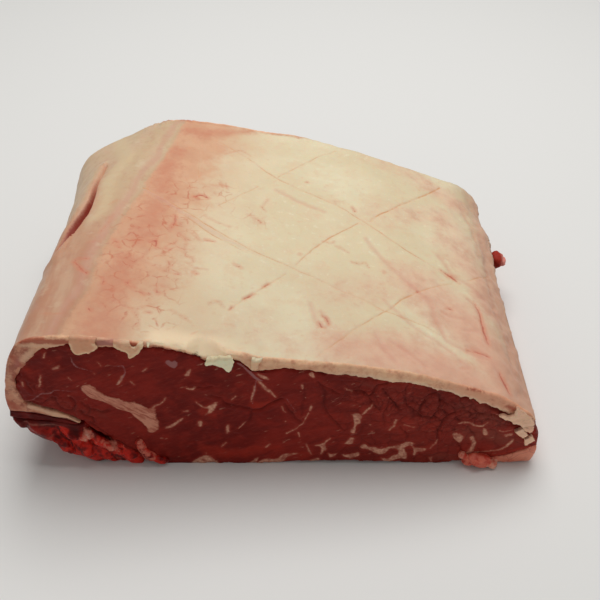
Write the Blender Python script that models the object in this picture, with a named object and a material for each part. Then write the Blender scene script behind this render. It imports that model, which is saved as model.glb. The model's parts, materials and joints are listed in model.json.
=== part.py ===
"""Raw beef strip roast: a boneless strip loin roast with its fat cap on top, cut square at both ends.

X runs along the wide front cut, Y from the front cut to the back cut, and Z is up. Lengths are in
metres. The front cut shows five pieces: the lean, the fat cap that wraps its left side and top, a
thin chain muscle under the cap's strip at the lower left, the ragged finger meat under that, and a
wedge of fat at the lower right. Each one runs from the front cut to the back one, so each is
lofted from its section at the front cut.
"""

import bmesh
import bpy
import numpy as np
from mathutils import Vector, noise

GAP = 0.0003  # left between neighbouring pieces

# How finely the pieces are divided.
ROWS = 17  # from the front cut to the back cut
LAYERS = 6  # up the lean
STRIP_COLUMNS = 5  # along the strip of fat under the lean's lower left
BOTTOM_COLUMNS = 30  # along the rest of the lean's bottom
COLUMNS = STRIP_COLUMNS + BOTTOM_COLUMNS
END_COLUMNS = 3  # over which the fat's top takes up the slant of its two ends

# The lean's outline at the front cut, as (x, z). All four curves meet at the corners.
LOWER_LEFT = (-0.1007, 0.0388)
UPPER_LEFT = (-0.0892, 0.0674)
LOWER_RIGHT = (0.1087, 0.0117)
UPPER_RIGHT = (0.1045, 0.0265)
STRIP_TIP = (-0.0805, 0.0267)
LEAN_STRIP = (LOWER_LEFT, (-0.0890, 0.0327), STRIP_TIP)
LEAN_BOTTOM = (
    STRIP_TIP,
    (-0.0754, 0.0198),
    (-0.0660, 0.0108),
    (-0.0573, 0.0025),
    (-0.0450, 0.0),
    (0.0, 0.0),
    (0.0620, 0.0),
    (0.0740, 0.0018),
    (0.0880, 0.0032),
    (0.1000, 0.0066),
    LOWER_RIGHT,
)
LEAN_LEFT = (LOWER_LEFT, (-0.1021, 0.0458), (-0.1018, 0.0510), (-0.0980, 0.0575), UPPER_LEFT)
LEAN_TOP = (
    UPPER_LEFT,
    (-0.0770, 0.0700),
    (-0.0470, 0.0680),
    (-0.0139, 0.0608),
    (0.0283, 0.0542),
    (0.0479, 0.0509),
    (0.0682, 0.0441),
    (0.0894, 0.0346),
    UPPER_RIGHT,
)
LEAN_RIGHT = (LOWER_RIGHT, (0.1080, 0.0195), UPPER_RIGHT)

# The fat cap's outside: under the lean's lower left, up the left side, and over the top.
FAT_LOWER_LEFT = (-0.1083, 0.0337)
FAT_UPPER_LEFT = (-0.0949, 0.0735)
FAT_STRIP = ((-0.0819, 0.0257), (-0.0902, 0.0295), (-0.0990, 0.0320), FAT_LOWER_LEFT)
FAT_SIDE = (
    FAT_LOWER_LEFT,
    (-0.1099, 0.0366),
    (-0.1083, 0.0423),
    (-0.1070, 0.0486),
    (-0.1054, 0.0554),
    (-0.1026, 0.0630),
    (-0.0992, 0.0696),
    FAT_UPPER_LEFT,
)
FAT_TOP = (
    FAT_UPPER_LEFT,
    (-0.0800, 0.0744),
    (-0.0640, 0.0730),
    (-0.0470, 0.0705),
    (-0.0286, 0.0677),
    (-0.0100, 0.0641),
    (0.0090, 0.0613),
    (0.0475, 0.0560),
    (0.0720, 0.0484),
    (0.0859, 0.0433),
    (0.0925, 0.0401),
    (0.0990, 0.0343),
    (0.1055, 0.0275),
)
CHAIN = (0.0009, 0.0028, 0.0044, 0.0036)  # thickness from the strip's tip to the lower left corner

# The outer edge of the two trimmed pieces that lie against the lean's lower corners.
FINGER_FOOT = -0.058  # x where the finger meat starts under the lean
FINGER_OUTLINE = (
    (FINGER_FOOT, 0.0),
    (-0.0780, 0.0),
    (-0.0850, 0.0020),
    (-0.0920, 0.0105),
    (-0.0985, 0.0190),
    (-0.1040, 0.0232),
)
FINGER_LUMP = 0.0016
FINGER_LUMP_SIZE = 0.009
FINGER_DEPTH = 0.165
FLOOR_CLEARANCE = 0.0005
TAIL_FOOT = 0.074  # x where the wedge of fat starts under the lean
TAIL_OUTLINE = ((TAIL_FOOT, 0.0), (0.0920, 0.0), (0.1055, 0.0), (0.1088, 0.0032), (0.1096, 0.0090))

# How the section changes on its way to the back cut.
DEPTHS = (  # (x, distance from the front cut to the back cut)
    (-0.109, 0.155),
    (-0.097, 0.158),
    (-0.086, 0.166),
    (-0.070, 0.172),
    (0.010, 0.172),
    (0.030, 0.164),
    (0.052, 0.158),
    (0.075, 0.156),
    (0.109, 0.155),
)
HEIGHT = 0.0744  # at the front cut
BREAK = ((0.0, -0.078), (0.25, -0.0755), (0.72, -0.064), (1.0, -0.050))  # (share of depth, x)
FLANK_WIDTH = 0.045  # of the flank that falls away left of the break
FLANK_DROP = 0.0125  # at the back cut
LEFT_WAIST = (  # (share of depth, how far the left side comes in)
    (0.0, 0.0),
    (0.2, 0.0002),
    (0.33, 0.0017),
    (0.49, 0.0020),
    (0.68, 0.0006),
    (0.82, -0.0016),
    (1.0, -0.0050),
)
WAIST_WIDTH = 0.035  # left of the break's front end, over which the side takes up all of it
WAVE = 0.0008  # height of the slow waves in the top
WAVE_SIZE = 0.045

# Flaps of fat that hang over the front cut: x of the middle, how far down, and how wide at the tip.
FLAPS = ((-0.0722, 0.0045, 0.6), (-0.0555, 0.0065, 0.4), (-0.0208, 0.0055, 0.5))
FLAP_THICKNESS = 0.0018
FLAP_FACES = 2  # columns of the fat's front edge that make one flap

NUB_PLACE = (LOWER_RIGHT[0], 0.121, 0.015)  # the nub of meat on the right side, from the front cut
NUB_LENGTH = 0.0055
LUMP_END = 0.092  # x where the lump in front of the fat wedge ends
LUMP_LENGTH = 0.0055

COLOURS = {
    "lean": (0.105, 0.012, 0.009, 1.0),
    "fat_cap": (0.76, 0.60, 0.40, 1.0),
    "chain_muscle": (0.045, 0.006, 0.005, 1.0),
    "finger_meat": (0.14, 0.012, 0.008, 1.0),
    "tail_fat": (0.50, 0.25, 0.17, 1.0),
}
ROUGHNESS = {"lean": 0.35, "fat_cap": 0.42, "chain_muscle": 0.3, "finger_meat": 0.35, "tail_fat": 0.4}


def smooth_step(value):
    """0 below 0, 1 above 1, and an even S between them."""
    value = np.clip(value, 0.0, 1.0)
    return value * value * (3.0 - 2.0 * value)


def smooth_curve(points, columns):
    """columns + 1 points, evenly spaced along a smooth curve through the given points."""
    points = np.array(points)
    ends = np.vstack([2 * points[0] - points[1], points, 2 * points[-1] - points[-2]])
    t = np.linspace(0.0, 1.0, 25)[:-1, None]
    spans = []
    for before, start, stop, after in zip(ends, ends[1:], ends[2:], ends[3:]):
        slope = (stop - before) / 2
        next_slope = (after - start) / 2
        curve = (2 * t**3 - 3 * t**2 + 1) * start + (t**3 - 2 * t**2 + t) * slope
        curve = curve + (3 * t**2 - 2 * t**3) * stop + (t**3 - t**2) * next_slope
        spans.append(curve)
    line = np.vstack(spans + [points[-1:]])
    along = np.append(0.0, np.cumsum(np.linalg.norm(np.diff(line, axis=0), axis=1)))
    places = np.linspace(0.0, along[-1], columns + 1)
    return np.column_stack([np.interp(places, along, line[:, axis]) for axis in range(2)])


def between(values, columns):
    """columns + 1 values read evenly from a short list of them."""
    places = np.linspace(0.0, len(values) - 1, columns + 1)
    return np.interp(places, np.arange(len(values)), values)


def offset(line, distance):
    """The line moved to its left by this distance, or by these distances, point by point."""
    along = np.gradient(line, axis=0)
    along = along / np.linalg.norm(along, axis=1)[:, None]
    left = np.column_stack([-along[:, 1], along[:, 0]])
    return line + left * np.reshape(distance, (-1, 1))


def lean_edges():
    """The lean's bottom, top, left and right edges, as points."""
    strip = smooth_curve(LEAN_STRIP, STRIP_COLUMNS)
    bottom = np.vstack([strip[:-1], smooth_curve(LEAN_BOTTOM, BOTTOM_COLUMNS)])
    bottom[:, 1] = np.maximum(bottom[:, 1], 0.0)
    top = smooth_curve(LEAN_TOP, COLUMNS)
    return bottom, top, smooth_curve(LEAN_LEFT, LAYERS), smooth_curve(LEAN_RIGHT, LAYERS)


def lean_section(bottom, top, left, right):
    """A grid of points between four edges that meet at their corners."""
    u = np.linspace(0.0, 1.0, COLUMNS + 1)[:, None, None]
    w = np.linspace(0.0, 1.0, LAYERS + 1)[None, :, None]
    rows = (1 - w) * bottom[:, None] + w * top[:, None]
    columns = (1 - u) * left[None] + u * right[None]
    corners = (1 - u) * ((1 - w) * bottom[0] + w * top[0]) + u * ((1 - w) * bottom[-1] + w * top[-1])
    return rows + columns - corners


def layer_section(inner, outer):
    """A section one cell thick, from its inner edge to its outer edge."""
    return np.stack([inner, outer], axis=1)


def fat_edges(bottom, top, left):
    """The inner and outer edges of the fat cap, from the strip's tip round to the right."""
    core = np.vstack([bottom[STRIP_COLUMNS::-1], left[1:], top[1:]])
    strip = smooth_curve(FAT_STRIP, STRIP_COLUMNS)
    side = smooth_curve(FAT_SIDE, LAYERS)
    # Over the top each outer point is straight above the lean's, but for a few at either end.
    fade = np.clip(1.0 - np.arange(COLUMNS + 1) / END_COLUMNS, 0.0, 1.0)
    left_end, right_end = FAT_TOP[0][0] - top[0, 0], FAT_TOP[-1][0] - top[-1, 0]
    across = top[:, 0] + left_end * fade + right_end * fade[::-1]
    over = smooth_curve(FAT_TOP, 4 * COLUMNS)
    cover = np.column_stack([across, np.interp(across, over[:, 0], over[:, 1])])
    return offset(core, GAP), np.vstack([strip, side[1:], cover[1:]])


def chain_edges(fat_outer):
    """The chain muscle lies along the outside of the strip of fat."""
    core = fat_outer[: STRIP_COLUMNS + 1]
    thickness = between(CHAIN, STRIP_COLUMNS)
    return offset(core, GAP), offset(core, GAP + thickness)


def finger_edges(bottom, chain_outer):
    """The finger meat fills the corner under the lean and the chain muscle."""
    under = bottom[STRIP_COLUMNS + 1 :]
    under = under[under[:, 0] < FINGER_FOOT]
    inner = np.vstack([offset(under[::-1], GAP), offset(chain_outer, GAP)])
    outer = smooth_curve(FINGER_OUTLINE, len(inner) - 1)
    outer[:, 1] = np.maximum(outer[:, 1], 0.0)
    return inner, outer


def tail_edges(bottom):
    """The wedge of fat lies under the lean at its lower right corner."""
    over = bottom[bottom[:, 0] > TAIL_FOOT]
    inner = offset(over, -GAP)
    outer = smooth_curve(TAIL_OUTLINE, len(inner) - 1)
    outer[:, 1] = np.maximum(outer[:, 1], 0.0)
    return inner, outer


def settle(x, share, z):
    """Where a point of the section comes to lie at this share of the way to the back cut."""
    depth = np.interp(x, *zip(*DEPTHS))
    y = share * depth
    past_break = (np.interp(share, *zip(*BREAK)) - x) / FLANK_WIDTH
    fall = FLANK_DROP * share * smooth_step(past_break)
    wave = WAVE * noise.noise(Vector((x, y, 0.0)) / WAVE_SIZE)
    come_in = np.interp(share, *zip(*LEFT_WAIST)) * smooth_step((BREAK[0][1] - x) / WAIST_WIDTH)
    return x + come_in, y, z + (wave - fall) * z / HEIGHT


def loft(section, shape):
    """A closed mesh with this grid of (x, z) points as its section; shape places each point."""
    cells = (section.shape[0] - 1, ROWS, section.shape[1] - 1)
    mesh = bmesh.new()
    corners = {}

    def corner(place):
        if place not in corners:
            x, z = section[place[0], place[2]]
            corners[place] = mesh.verts.new(shape(x, place[1] / ROWS, z, place[2]))
        return corners[place]

    for axis in range(3):
        first, second = (axis + 1) % 3, (axis + 2) % 3
        for side in (0, cells[axis]):
            for i in range(cells[first]):
                for j in range(cells[second]):
                    ring = []
                    for step, rise in ((0, 0), (1, 0), (1, 1), (0, 1)):
                        place = [side] * 3
                        place[first] = i + step
                        place[second] = j + rise
                        ring.append(corner(tuple(place)))
                    mesh.faces.new(ring)
    bmesh.ops.recalc_face_normals(mesh, faces=mesh.faces)
    return mesh


def plain(x, share, z, layer):
    """The shape of a piece with no relief of its own."""
    return settle(x, share, z)


def ragged(x, share, z, layer):
    """The finger meat: its outside is lumpy where it stands clear of the floor."""
    if layer and z > FLOOR_CLEARANCE:
        place = Vector((x, share * FINGER_DEPTH, z)) / FINGER_LUMP_SIZE
        lump = FINGER_LUMP * noise.noise(place)
        x, z = x + lump, max(z + lump, 0.0)
    return settle(x, share, z)


def pull(mesh, faces, move, narrow):
    """Draws these faces out by this much, and makes their end this much narrower along X."""
    edges = {edge for face in faces for edge in face.edges}
    drawn = bmesh.ops.extrude_face_region(mesh, geom=[*faces, *edges])["geom"]
    verts = [item for item in drawn if isinstance(item, bmesh.types.BMVert)]
    middle = sum((vert.co for vert in verts), Vector()) / len(verts)
    for vert in verts:
        vert.co += Vector(move)
        vert.co.x = middle.x + move[0] + (vert.co.x - middle.x - move[0]) * narrow
    return [item for item in drawn if isinstance(item, bmesh.types.BMFace)]


def front_faces(mesh):
    return [face for face in mesh.faces if face.normal.y < -0.9]


def hang_flap(mesh, middle, drop, narrow):
    """A flap: a piece of the fat's front edge comes forward, and its lower side hangs down."""
    mesh.normal_update()
    front = [face for face in front_faces(mesh) if face.calc_center_median().z > UPPER_LEFT[1] / 2]
    front.sort(key=lambda face: abs(face.calc_center_median().x - middle))
    found = sum(face.calc_center_median().x for face in front[:FLAP_FACES]) / FLAP_FACES
    ends = pull(mesh, front[:FLAP_FACES], (middle - found, -FLAP_THICKNESS, 0.0), 1.0)
    mesh.normal_update()
    edge_verts = {vert for face in ends for vert in face.verts}
    under = [
        face
        for face in mesh.faces
        if face.normal.z < -0.7 and sum(vert in edge_verts for vert in face.verts) == 2
    ]
    tip = pull(mesh, under, (0.0, 0.0, -drop / 2), 0.9)
    # It hangs in front of the cut, clear of the lean behind it.
    for vert in {vert for face in tip for vert in face.verts}:
        vert.co.y = min(vert.co.y, -2 * GAP)
    pull(mesh, tip, (0.0, 0.0, -drop / 2), narrow)


def add_piece(name, mesh, collection):
    """Makes the object for one piece of the roast, with its own material."""
    material = bpy.data.materials.new(name)
    material.use_nodes = True
    shader = material.node_tree.nodes["Principled BSDF"]
    shader.inputs["Base Color"].default_value = COLOURS[name]
    shader.inputs["Roughness"].default_value = ROUGHNESS[name]
    shader.inputs["Metallic"].default_value = 0.0
    data = bpy.data.meshes.new(name)
    bmesh.ops.recalc_face_normals(mesh, faces=mesh.faces)
    mesh.to_mesh(data)
    mesh.free()
    data.shade_smooth()
    data.set_sharp_from_angle(angle=0.7)
    data.materials.append(material)
    piece = bpy.data.objects.new(name, data)
    collection.objects.link(piece)
    return piece


def lean_mesh(edges):
    """The lean, with the nub of meat that stands out on its right side."""
    mesh = loft(lean_section(*edges), plain)
    mesh.normal_update()
    nub = min(
        (face for face in mesh.faces if face.normal.x > 0.7),
        key=lambda face: (face.calc_center_median() - Vector(NUB_PLACE)).length,
    )
    end = pull(mesh, [nub], (NUB_LENGTH / 2, 0.0, 0.0), 1.0)
    pull(mesh, end, (NUB_LENGTH / 2, 0.001, 0.001), 0.6)
    return mesh


def tail_mesh(bottom):
    """The wedge of fat, with the lump that stands out in front of the cut."""
    mesh = loft(layer_section(*tail_edges(bottom)), plain)
    mesh.normal_update()
    lump = [face for face in front_faces(mesh) if face.calc_center_median().x < LUMP_END]
    end = pull(mesh, lump, (0.0, -0.6 * LUMP_LENGTH, 0.0), 0.95)
    pull(mesh, end, (0.0, -0.4 * LUMP_LENGTH, 0.0), 0.7)
    return mesh


def centre(pieces):
    """Moves the roast so that the middle of its box is over the origin, with its foot on z = 0."""
    points = [vert.co for piece in pieces for vert in piece.data.vertices]
    low = Vector(min(point[axis] for point in points) for axis in range(3))
    high = Vector(max(point[axis] for point in points) for axis in range(3))
    shift = Vector((-(low.x + high.x) / 2, -(low.y + high.y) / 2, -low.z))
    for piece in pieces:
        for vert in piece.data.vertices:
            vert.co += shift


def main():
    for thing in list(bpy.data.objects):
        bpy.data.objects.remove(thing)
    roast = bpy.data.collections.new("raw_beef_strip_roast")
    bpy.context.scene.collection.children.link(roast)

    bottom, top, left, right = lean_edges()
    fat_inner, fat_outer = fat_edges(bottom, top, left)
    chain_inner, chain_outer = chain_edges(fat_outer)

    fat = loft(layer_section(fat_inner, fat_outer), plain)
    for middle, drop, narrow in FLAPS:
        hang_flap(fat, middle, drop, narrow)

    meshes = {
        "lean": lean_mesh((bottom, top, left, right)),
        "fat_cap": fat,
        "chain_muscle": loft(layer_section(chain_inner, chain_outer), plain),
        "finger_meat": loft(layer_section(*finger_edges(bottom, chain_outer)), ragged),
        "tail_fat": tail_mesh(bottom),
    }
    centre([add_piece(name, mesh, roast) for name, mesh in meshes.items()])


main()
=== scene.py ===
"""Raw beef strip roast: the looks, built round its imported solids.

Each solid is copied, divided finely and given its relief: the score lines, folds and cleft of the
fat, the bundles of fibre in the lean, and the torn flaps over the front cut. The marks are lists of
strokes in millimetres. Every piece keeps its distance to them in attributes, which its material
reads, so a mark has the same place in shape and in colour.
"""

import json
import math
from collections import Counter

import bpy
import numpy as np
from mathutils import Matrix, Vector, noise
from mathutils.kdtree import KDTree

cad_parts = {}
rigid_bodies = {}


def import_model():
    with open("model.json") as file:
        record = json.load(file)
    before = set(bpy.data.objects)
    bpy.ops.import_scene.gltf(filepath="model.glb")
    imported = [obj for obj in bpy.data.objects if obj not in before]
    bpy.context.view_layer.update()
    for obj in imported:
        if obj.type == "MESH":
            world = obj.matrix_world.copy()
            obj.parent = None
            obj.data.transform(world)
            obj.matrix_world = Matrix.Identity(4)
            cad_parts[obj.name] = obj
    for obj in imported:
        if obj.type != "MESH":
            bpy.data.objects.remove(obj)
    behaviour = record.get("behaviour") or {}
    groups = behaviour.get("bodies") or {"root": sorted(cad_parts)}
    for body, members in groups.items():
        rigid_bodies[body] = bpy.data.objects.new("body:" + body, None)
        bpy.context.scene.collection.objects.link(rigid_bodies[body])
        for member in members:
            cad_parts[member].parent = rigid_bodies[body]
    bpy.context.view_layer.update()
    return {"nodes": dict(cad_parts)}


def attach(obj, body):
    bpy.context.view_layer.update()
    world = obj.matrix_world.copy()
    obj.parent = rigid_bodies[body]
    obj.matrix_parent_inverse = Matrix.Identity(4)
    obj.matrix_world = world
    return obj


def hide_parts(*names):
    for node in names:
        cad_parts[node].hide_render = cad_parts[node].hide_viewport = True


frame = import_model()

MM = 0.001
FRONT = -0.08325  # y of the front cut, in metres
RIGHT_SIDE = 0.1088  # x of the lean's right side, in metres, without its nub of meat
FAR = 4.0  # a mark's distance, in millimetres, is kept up to this
CORNER = (98, 71)  # where the fat's back right corner stands up, as (x, y) in millimetres
CORNER_RISE = 2.3  # and how far it does
BULGE_AT = 38  # y where the fat's right side bulges most, in millimetres
BULGE = 1.9  # and how far it does
LOBE_REACH = 9.0  # how far from the cleft the flank can swell, in millimetres
FACING = 0.9  # a face counts as square to an axis when its normal lies this much along it

# Marks on top of the fat, as (x, y, half-width) in millimetres.
SCORES = (
    (
        (-34.6, 70.9, 0.38), (-18.7, 59.3, 0.43), (-8.2, 48, 0.43), (-1.1, 41.3, 0.38),
        (8.8, 35.3, 0.38), (18.5, 30.2, 0.38), (26.2, 25.5, 0.43), (33.6, 19.3, 0.38),
        (40.9, 12.6, 0.43), (48.9, 4.5, 0.48), (60.4, -4.3, 0.43), (67.5, -8.5, 0.33), (77, -16, 0.29),
    ),
    (
        (-64.4, 19.9, 0.48), (-52.4, 11.8, 0.48), (-36.3, -0.6, 0.48), (-22.2, -11.2, 0.48),
        (-11.4, -18, 0.43), (-6, -21.2, 0.38), (5.3, -26.8, 0.38), (17.4, -33.1, 0.38),
        (25.7, -38.5, 0.38), (35.7, -43.3, 0.38), (44.7, -48.4, 0.38), (58.3, -52.5, 0.29),
        (68.1, -56.8, 0.24),
    ),
    (
        (-62, 15.3, 0.33), (-52.9, 8.4, 0.38), (-37.8, -3.2, 0.38), (-27.9, -11.8, 0.38),
        (-16.6, -18.5, 0.24),
    ),
    ((-2.1, 43.8, 0.33), (8.8, 57.7, 0.38), (19.3, 69.6, 0.38), (27.9, 76.2, 0.29)),
    ((7.1, -24.5, 0.33), (17.8, -7.2, 0.48), (26.4, 3, 0.43), (36.2, 12.5, 0.33)),
    ((-20, -58.5, 0.24), (-13.3, -49.6, 0.43), (-5.4, -40.4, 0.38), (2.8, -31.2, 0.29)),
    (
        (42.5, 15.4, 0.62), (45.3, 20.1, 0.52), (52.7, 27.5, 0.52), (63, 39.5, 0.57),
        (73.8, 51.8, 0.62), (82.9, 63.4, 0.48),
    ),
    ((-29.2, 12, 0.29), (-19.7, 23.2, 0.29), (-11.6, 34.3, 0.24)),
    (
        (15, -80, 0.19), (24.6, -69.3, 0.38), (33.1, -59.7, 0.43), (41.9, -50.8, 0.43),
        (46.5, -46.8, 0.43), (51.4, -40.3, 0.43), (60.2, -31.9, 0.43), (66.2, -26.7, 0.33),
        (74.5, -20.6, 0.29), (78.1, -18.4, 0.24),
    ),
    ((86.2, -12.5, 0.29), (93.5, -5.3, 0.38), (99.2, 1.7, 0.38)),
    ((-42.1, 63.8, 0.29), (-40.1, 30.9, 0.19)),
)
FOLDS = (
    (
        (39.3, 1.5, 0.48), (44.9, -10.8, 0.62), (53, -22.9, 0.62), (61, -32.3, 0.71),
        (64.2, -36.3, 0.76), (65.6, -46.1, 0.62), (67.5, -51.5, 0.62), (69.2, -58.2, 0.62),
        (74.8, -61.1, 0.57), (81.4, -62.8, 0.71), (87.5, -63.5, 0.62), (90.2, -68, 0.57),
        (91.7, -73.7, 0.57), (93.5, -80.3, 0.48),
    ),
    (
        (73.4, -0.1, 0.48), (76.5, -6.1, 0.62), (79.5, -12.1, 0.76), (86.6, -15.9, 0.76),
        (92.1, -20.8, 0.48),
    ),
    (
        (83.8, -27, 0.38), (86.9, -31, 0.48), (87.9, -35.9, 0.57), (88.4, -43.5, 0.48),
        (87.8, -51.9, 0.38),
    ),
    ((78.5, -48.8, 0.29), (85.1, -46.8, 0.38), (87.4, -49, 0.29)),
    ((78.6, -59.2, 0.38), (82.9, -59.3, 0.62), (86.9, -61.9, 0.57)),
    ((69.9, -40.6, 0.33), (74.1, -42.2, 0.48), (79.2, -41.6, 0.33)),
    ((38.6, -63.5, 0.24), (42.7, -73.1, 0.33), (46.2, -78.1, 0.24)),
    ((44.9, -65.8, 0.29), (51.7, -71.1, 0.43), (58.4, -77, 0.33)),
    ((-2.9, 32.9, 0.33), (8.8, 25, 0.48), (20.2, 18.7, 0.33)),
    ((12.9, -48.5, 0.29), (13.7, -53.4, 0.38), (16, -61.6, 0.33)),
    ((17, -53.6, 0.33), (20.1, -58.1, 0.43), (20.1, -61.7, 0.38), (17.2, -61.4, 0.29)),
    ((73.6, -69, 0.33), (76.6, -71.4, 0.48), (73.2, -74.2, 0.29)),
    ((44.3, -41.5, 0.29), (55.1, -54.2, 0.43), (66.1, -62.3, 0.38), (71.8, -66.7, 0.24)),
    (
        (98.5, 33.7, 0.2), (99.3, 13.3, 0.3), (97.7, -11.1, 0.3), (98.3, -31.6, 0.3),
        (99.1, -48.8, 0.3), (99.6, -66.3, 0.3),
    ),
    ((93.7, 46.2, 0.24), (96.2, 30.7, 0.38), (95.6, 12, 0.29)),
)
BLOOD = (
    ((73, -10.5, 0.24), (75.6, -12.3, 0.48), (78.2, -14.1, 0.76), (81.2, -16.3, 0.29)),
    ((90.7, -69.9, 0.24), (92.1, -74.1, 0.57), (93.4, -78.8, 0.29)),
    ((86.8, -28, 0.2), (88.2, -35.5, 0.4), (87.9, -45, 0.5), (88.6, -53.5, 0.24)),
    ((77.9, -60.9, 0.2), (83.1, -60.8, 0.45), (87.6, -61.7, 0.3)),
    ((-84.2, -37.5, 0.3), (-80.7, -41.9, 0.45), (-77.5, -45.8, 0.3)),
    ((-84.9, -36, 0.3), (-82.6, -34.9, 0.35), (-79.2, -35.2, 0.2)),
    ((-48, 0.9, 0.38), (-47.1, -3.4, 0.48), (-48.4, -7.5, 0.19)),
    ((-55.8, -20.1, 0.38), (-53.5, -18.8, 0.57), (-52.9, -23, 0.38)),
    ((-48.6, -23.6, 0.24), (-46.9, -24, 0.38)),
    ((-32.5, -14.2, 0.29), (-30.7, -14.6, 0.48), (-28.5, -14.9, 0.19)),
    ((-40.7, 16.9, 0.38), (-37.6, 19.2, 0.62), (-34.2, 17.4, 0.48)),
    ((-48.9, -50.7, 0.19), (-48.2, -53.1, 0.57), (-47, -52.9, 0.19)),
    ((-42.9, -40.6, 0.24), (-41.3, -40.3, 0.38)),
    ((-54.7, -54.3, 0.24), (-53.4, -55.3, 0.43)),
    ((-61.1, -48.3, 0.29), (-60.4, -50.1, 0.43)),
    ((-70.6, -48.4, 0.24), (-70.1, -51.5, 0.48)),
    ((-73, -66.7, 0.38), (-71.7, -67.8, 0.52)),
    ((-51.1, -65.8, 0.24), (-49.6, -65.6, 0.38)),
    ((-70.7, -22.1, 0.38), (-68.9, -23.2, 0.48)),
    ((-69.2, -26, 0.29), (-67.9, -26.5, 0.38)),
    ((12.3, 42.3, 0.48),),
    ((8.8, -17.1, 0.48),),
    ((-32, -77.6, 0.52),),
    ((45.9, -22.2, 0.38),),
    ((60.2, -31.9, 0.48),),
    ((-14.1, -50.4, 0.38), (-11.8, -48, 0.48), (-10.6, -46.5, 0.24)),
    ((-6.2, -41.2, 0.24), (-4.6, -39.6, 0.43)),
    ((-18.6, -56.3, 0.38), (-19.3, -57.7, 0.14)),
    ((16.5, -59.7, 0.38), (17.2, -62, 0.52), (18.4, -62.5, 0.19)),
    ((17.8, -55.9, 0.19), (19.8, -57.5, 0.48), (20.5, -60.4, 0.24)),
    ((33.9, 25.2, 0.38), (35.2, 22.1, 0.48)),
    ((-19.4, -29, 0.24), (-17.7, -29.9, 0.48), (-15.9, -30.8, 0.24)),
    ((72.1, -37.8, 0.29), (74.3, -37.6, 0.48)),
    ((-35.8, -38, 0.29), (-34, -39, 0.29)),
    ((-58.7, -51.1, 0.19), (-57.5, -51.6, 0.29)),
)
VEINS = (
    (
        (-67.1, -45.9, 0.29), (-62.2, -39.2, 0.33), (-58.3, -32.5, 0.29), (-54.2, -26.1, 0.33),
        (-48.8, -22.2, 0.29), (-44.8, -16.4, 0.19),
    ),
    ((-61.4, -49, 0.24), (-59.3, -47.3, 0.29), (-55.4, -44, 0.24), (-55.7, -42.1, 0.14)),
    ((-62, -50.4, 0.19), (-58.3, -53.6, 0.29), (-54.2, -54.8, 0.24)),
    ((-46.8, -31.8, 0.19), (-45.5, -35.7, 0.29), (-46.7, -39.2, 0.19)),
    ((-41.7, -25.3, 0.19), (-37.1, -28.7, 0.24), (-36.4, -31.4, 0.14)),
    ((-54.9, -65.9, 0.19), (-54.3, -69.9, 0.24), (-52.7, -75.8, 0.19)),
    ((-48.4, -11.2, 0.19), (-47.8, -5.1, 0.29)),
    ((-36.9, -12.8, 0.19), (-35, -15.4, 0.29), (-32, -14.8, 0.19)),
    ((-56, -9.1, 0.19), (-53, -15.8, 0.24), (-54.2, -19.7, 0.24)),
    ((-44.9, -11.3, 0.14), (-40.9, -16.4, 0.24), (-41.1, -23, 0.19)),
    ((-54.7, -34.6, 0.14), (-50.2, -37.8, 0.24), (-45, -39.6, 0.19)),
    ((-39.3, -31.9, 0.14), (-34.8, -35.2, 0.19), (-30.2, -35.6, 0.14)),
    ((-51.8, -49.9, 0.14), (-47.3, -47.9, 0.24), (-42.1, -50.8, 0.14)),
    ((-66.8, -54.3, 0.19), (-61.9, -55.5, 0.24), (-59.4, -59.5, 0.14)),
    ((-61.6, -62.3, 0.14), (-56.9, -65.1, 0.24), (-51.6, -62.4, 0.14)),
    ((-70.9, -61.7, 0.19), (-67.4, -64.3, 0.24), (-65.1, -68.7, 0.14)),
    ((-34.4, 3.6, 0.14), (-29.2, -0.7, 0.24), (-22.8, -2.2, 0.14)),
    ((-33.2, 28.1, 0.19), (-27.1, 28.8, 0.29), (-25.1, 25.9, 0.19)),
    ((-15.2, 7.9, 0.19), (-11.5, 5.7, 0.33), (-8.2, 3.3, 0.19)),
    ((-6.5, 24.3, 0.14), (-9.1, 17, 0.19), (-7.1, 13.3, 0.14)),
    ((19.7, -4.5, 0.19), (22.4, -5.5, 0.29), (24.3, -3.7, 0.14)),
    ((25.1, -7.3, 0.14), (28.2, -8.3, 0.29), (30.4, -10.9, 0.14)),
    ((31.9, -18, 0.19), (34.5, -18.9, 0.29), (37.3, -16.9, 0.19), (38.9, -20.2, 0.14)),
    ((-28, -56.8, 0.14), (-24.7, -53.6, 0.24), (-22.5, -56.7, 0.14)),
    ((-42.2, -63.1, 0.14), (-37.3, -65.7, 0.24), (-34, -68.5, 0.14)),
    ((-85.5, -37.3, 0.24), (-82.3, -36.4, 0.29), (-79.1, -35.9, 0.19)),
    ((-85.3, -38, 0.19), (-81.4, -42.5, 0.29), (-77.5, -45.8, 0.24)),
    ((-84.2, -37.5, 0.14), (-80.3, -42, 0.19), (-76.9, -45, 0.14)),
    ((-78.2, 5.9, 0.19), (-76.7, 7.4, 0.29), (-75.1, 8.9, 0.19)),
    ((-82.3, -23.8, 0.14), (-79.8, -23.5, 0.19)),
    ((-90.8, -68.6, 0.19), (-87, -69.6, 0.24), (-83.1, -69.9, 0.14)),
    ((-77.6, -16.9, 0.14), (-75.5, -9.4, 0.24), (-74.3, -3.3, 0.14)),
    ((-28.7, 58.8, 0.14), (-22, 64.9, 0.24), (-16.7, 60.9, 0.14)),
)
CLEFT = (
    (
        (-88.1, 48.2, 0.3), (-88.4, 38.2, 0.35), (-88.3, 25.8, 0.5), (-87.6, 12.2, 0.8),
        (-88.4, 3.3, 1.3), (-90.1, -3.5, 1.8), (-91.8, -10.3, 1.8), (-93.4, -17.2, 1.4),
        (-95.6, -23.4, 0.8), (-98, -28, 0.3),
    ),
)
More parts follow.
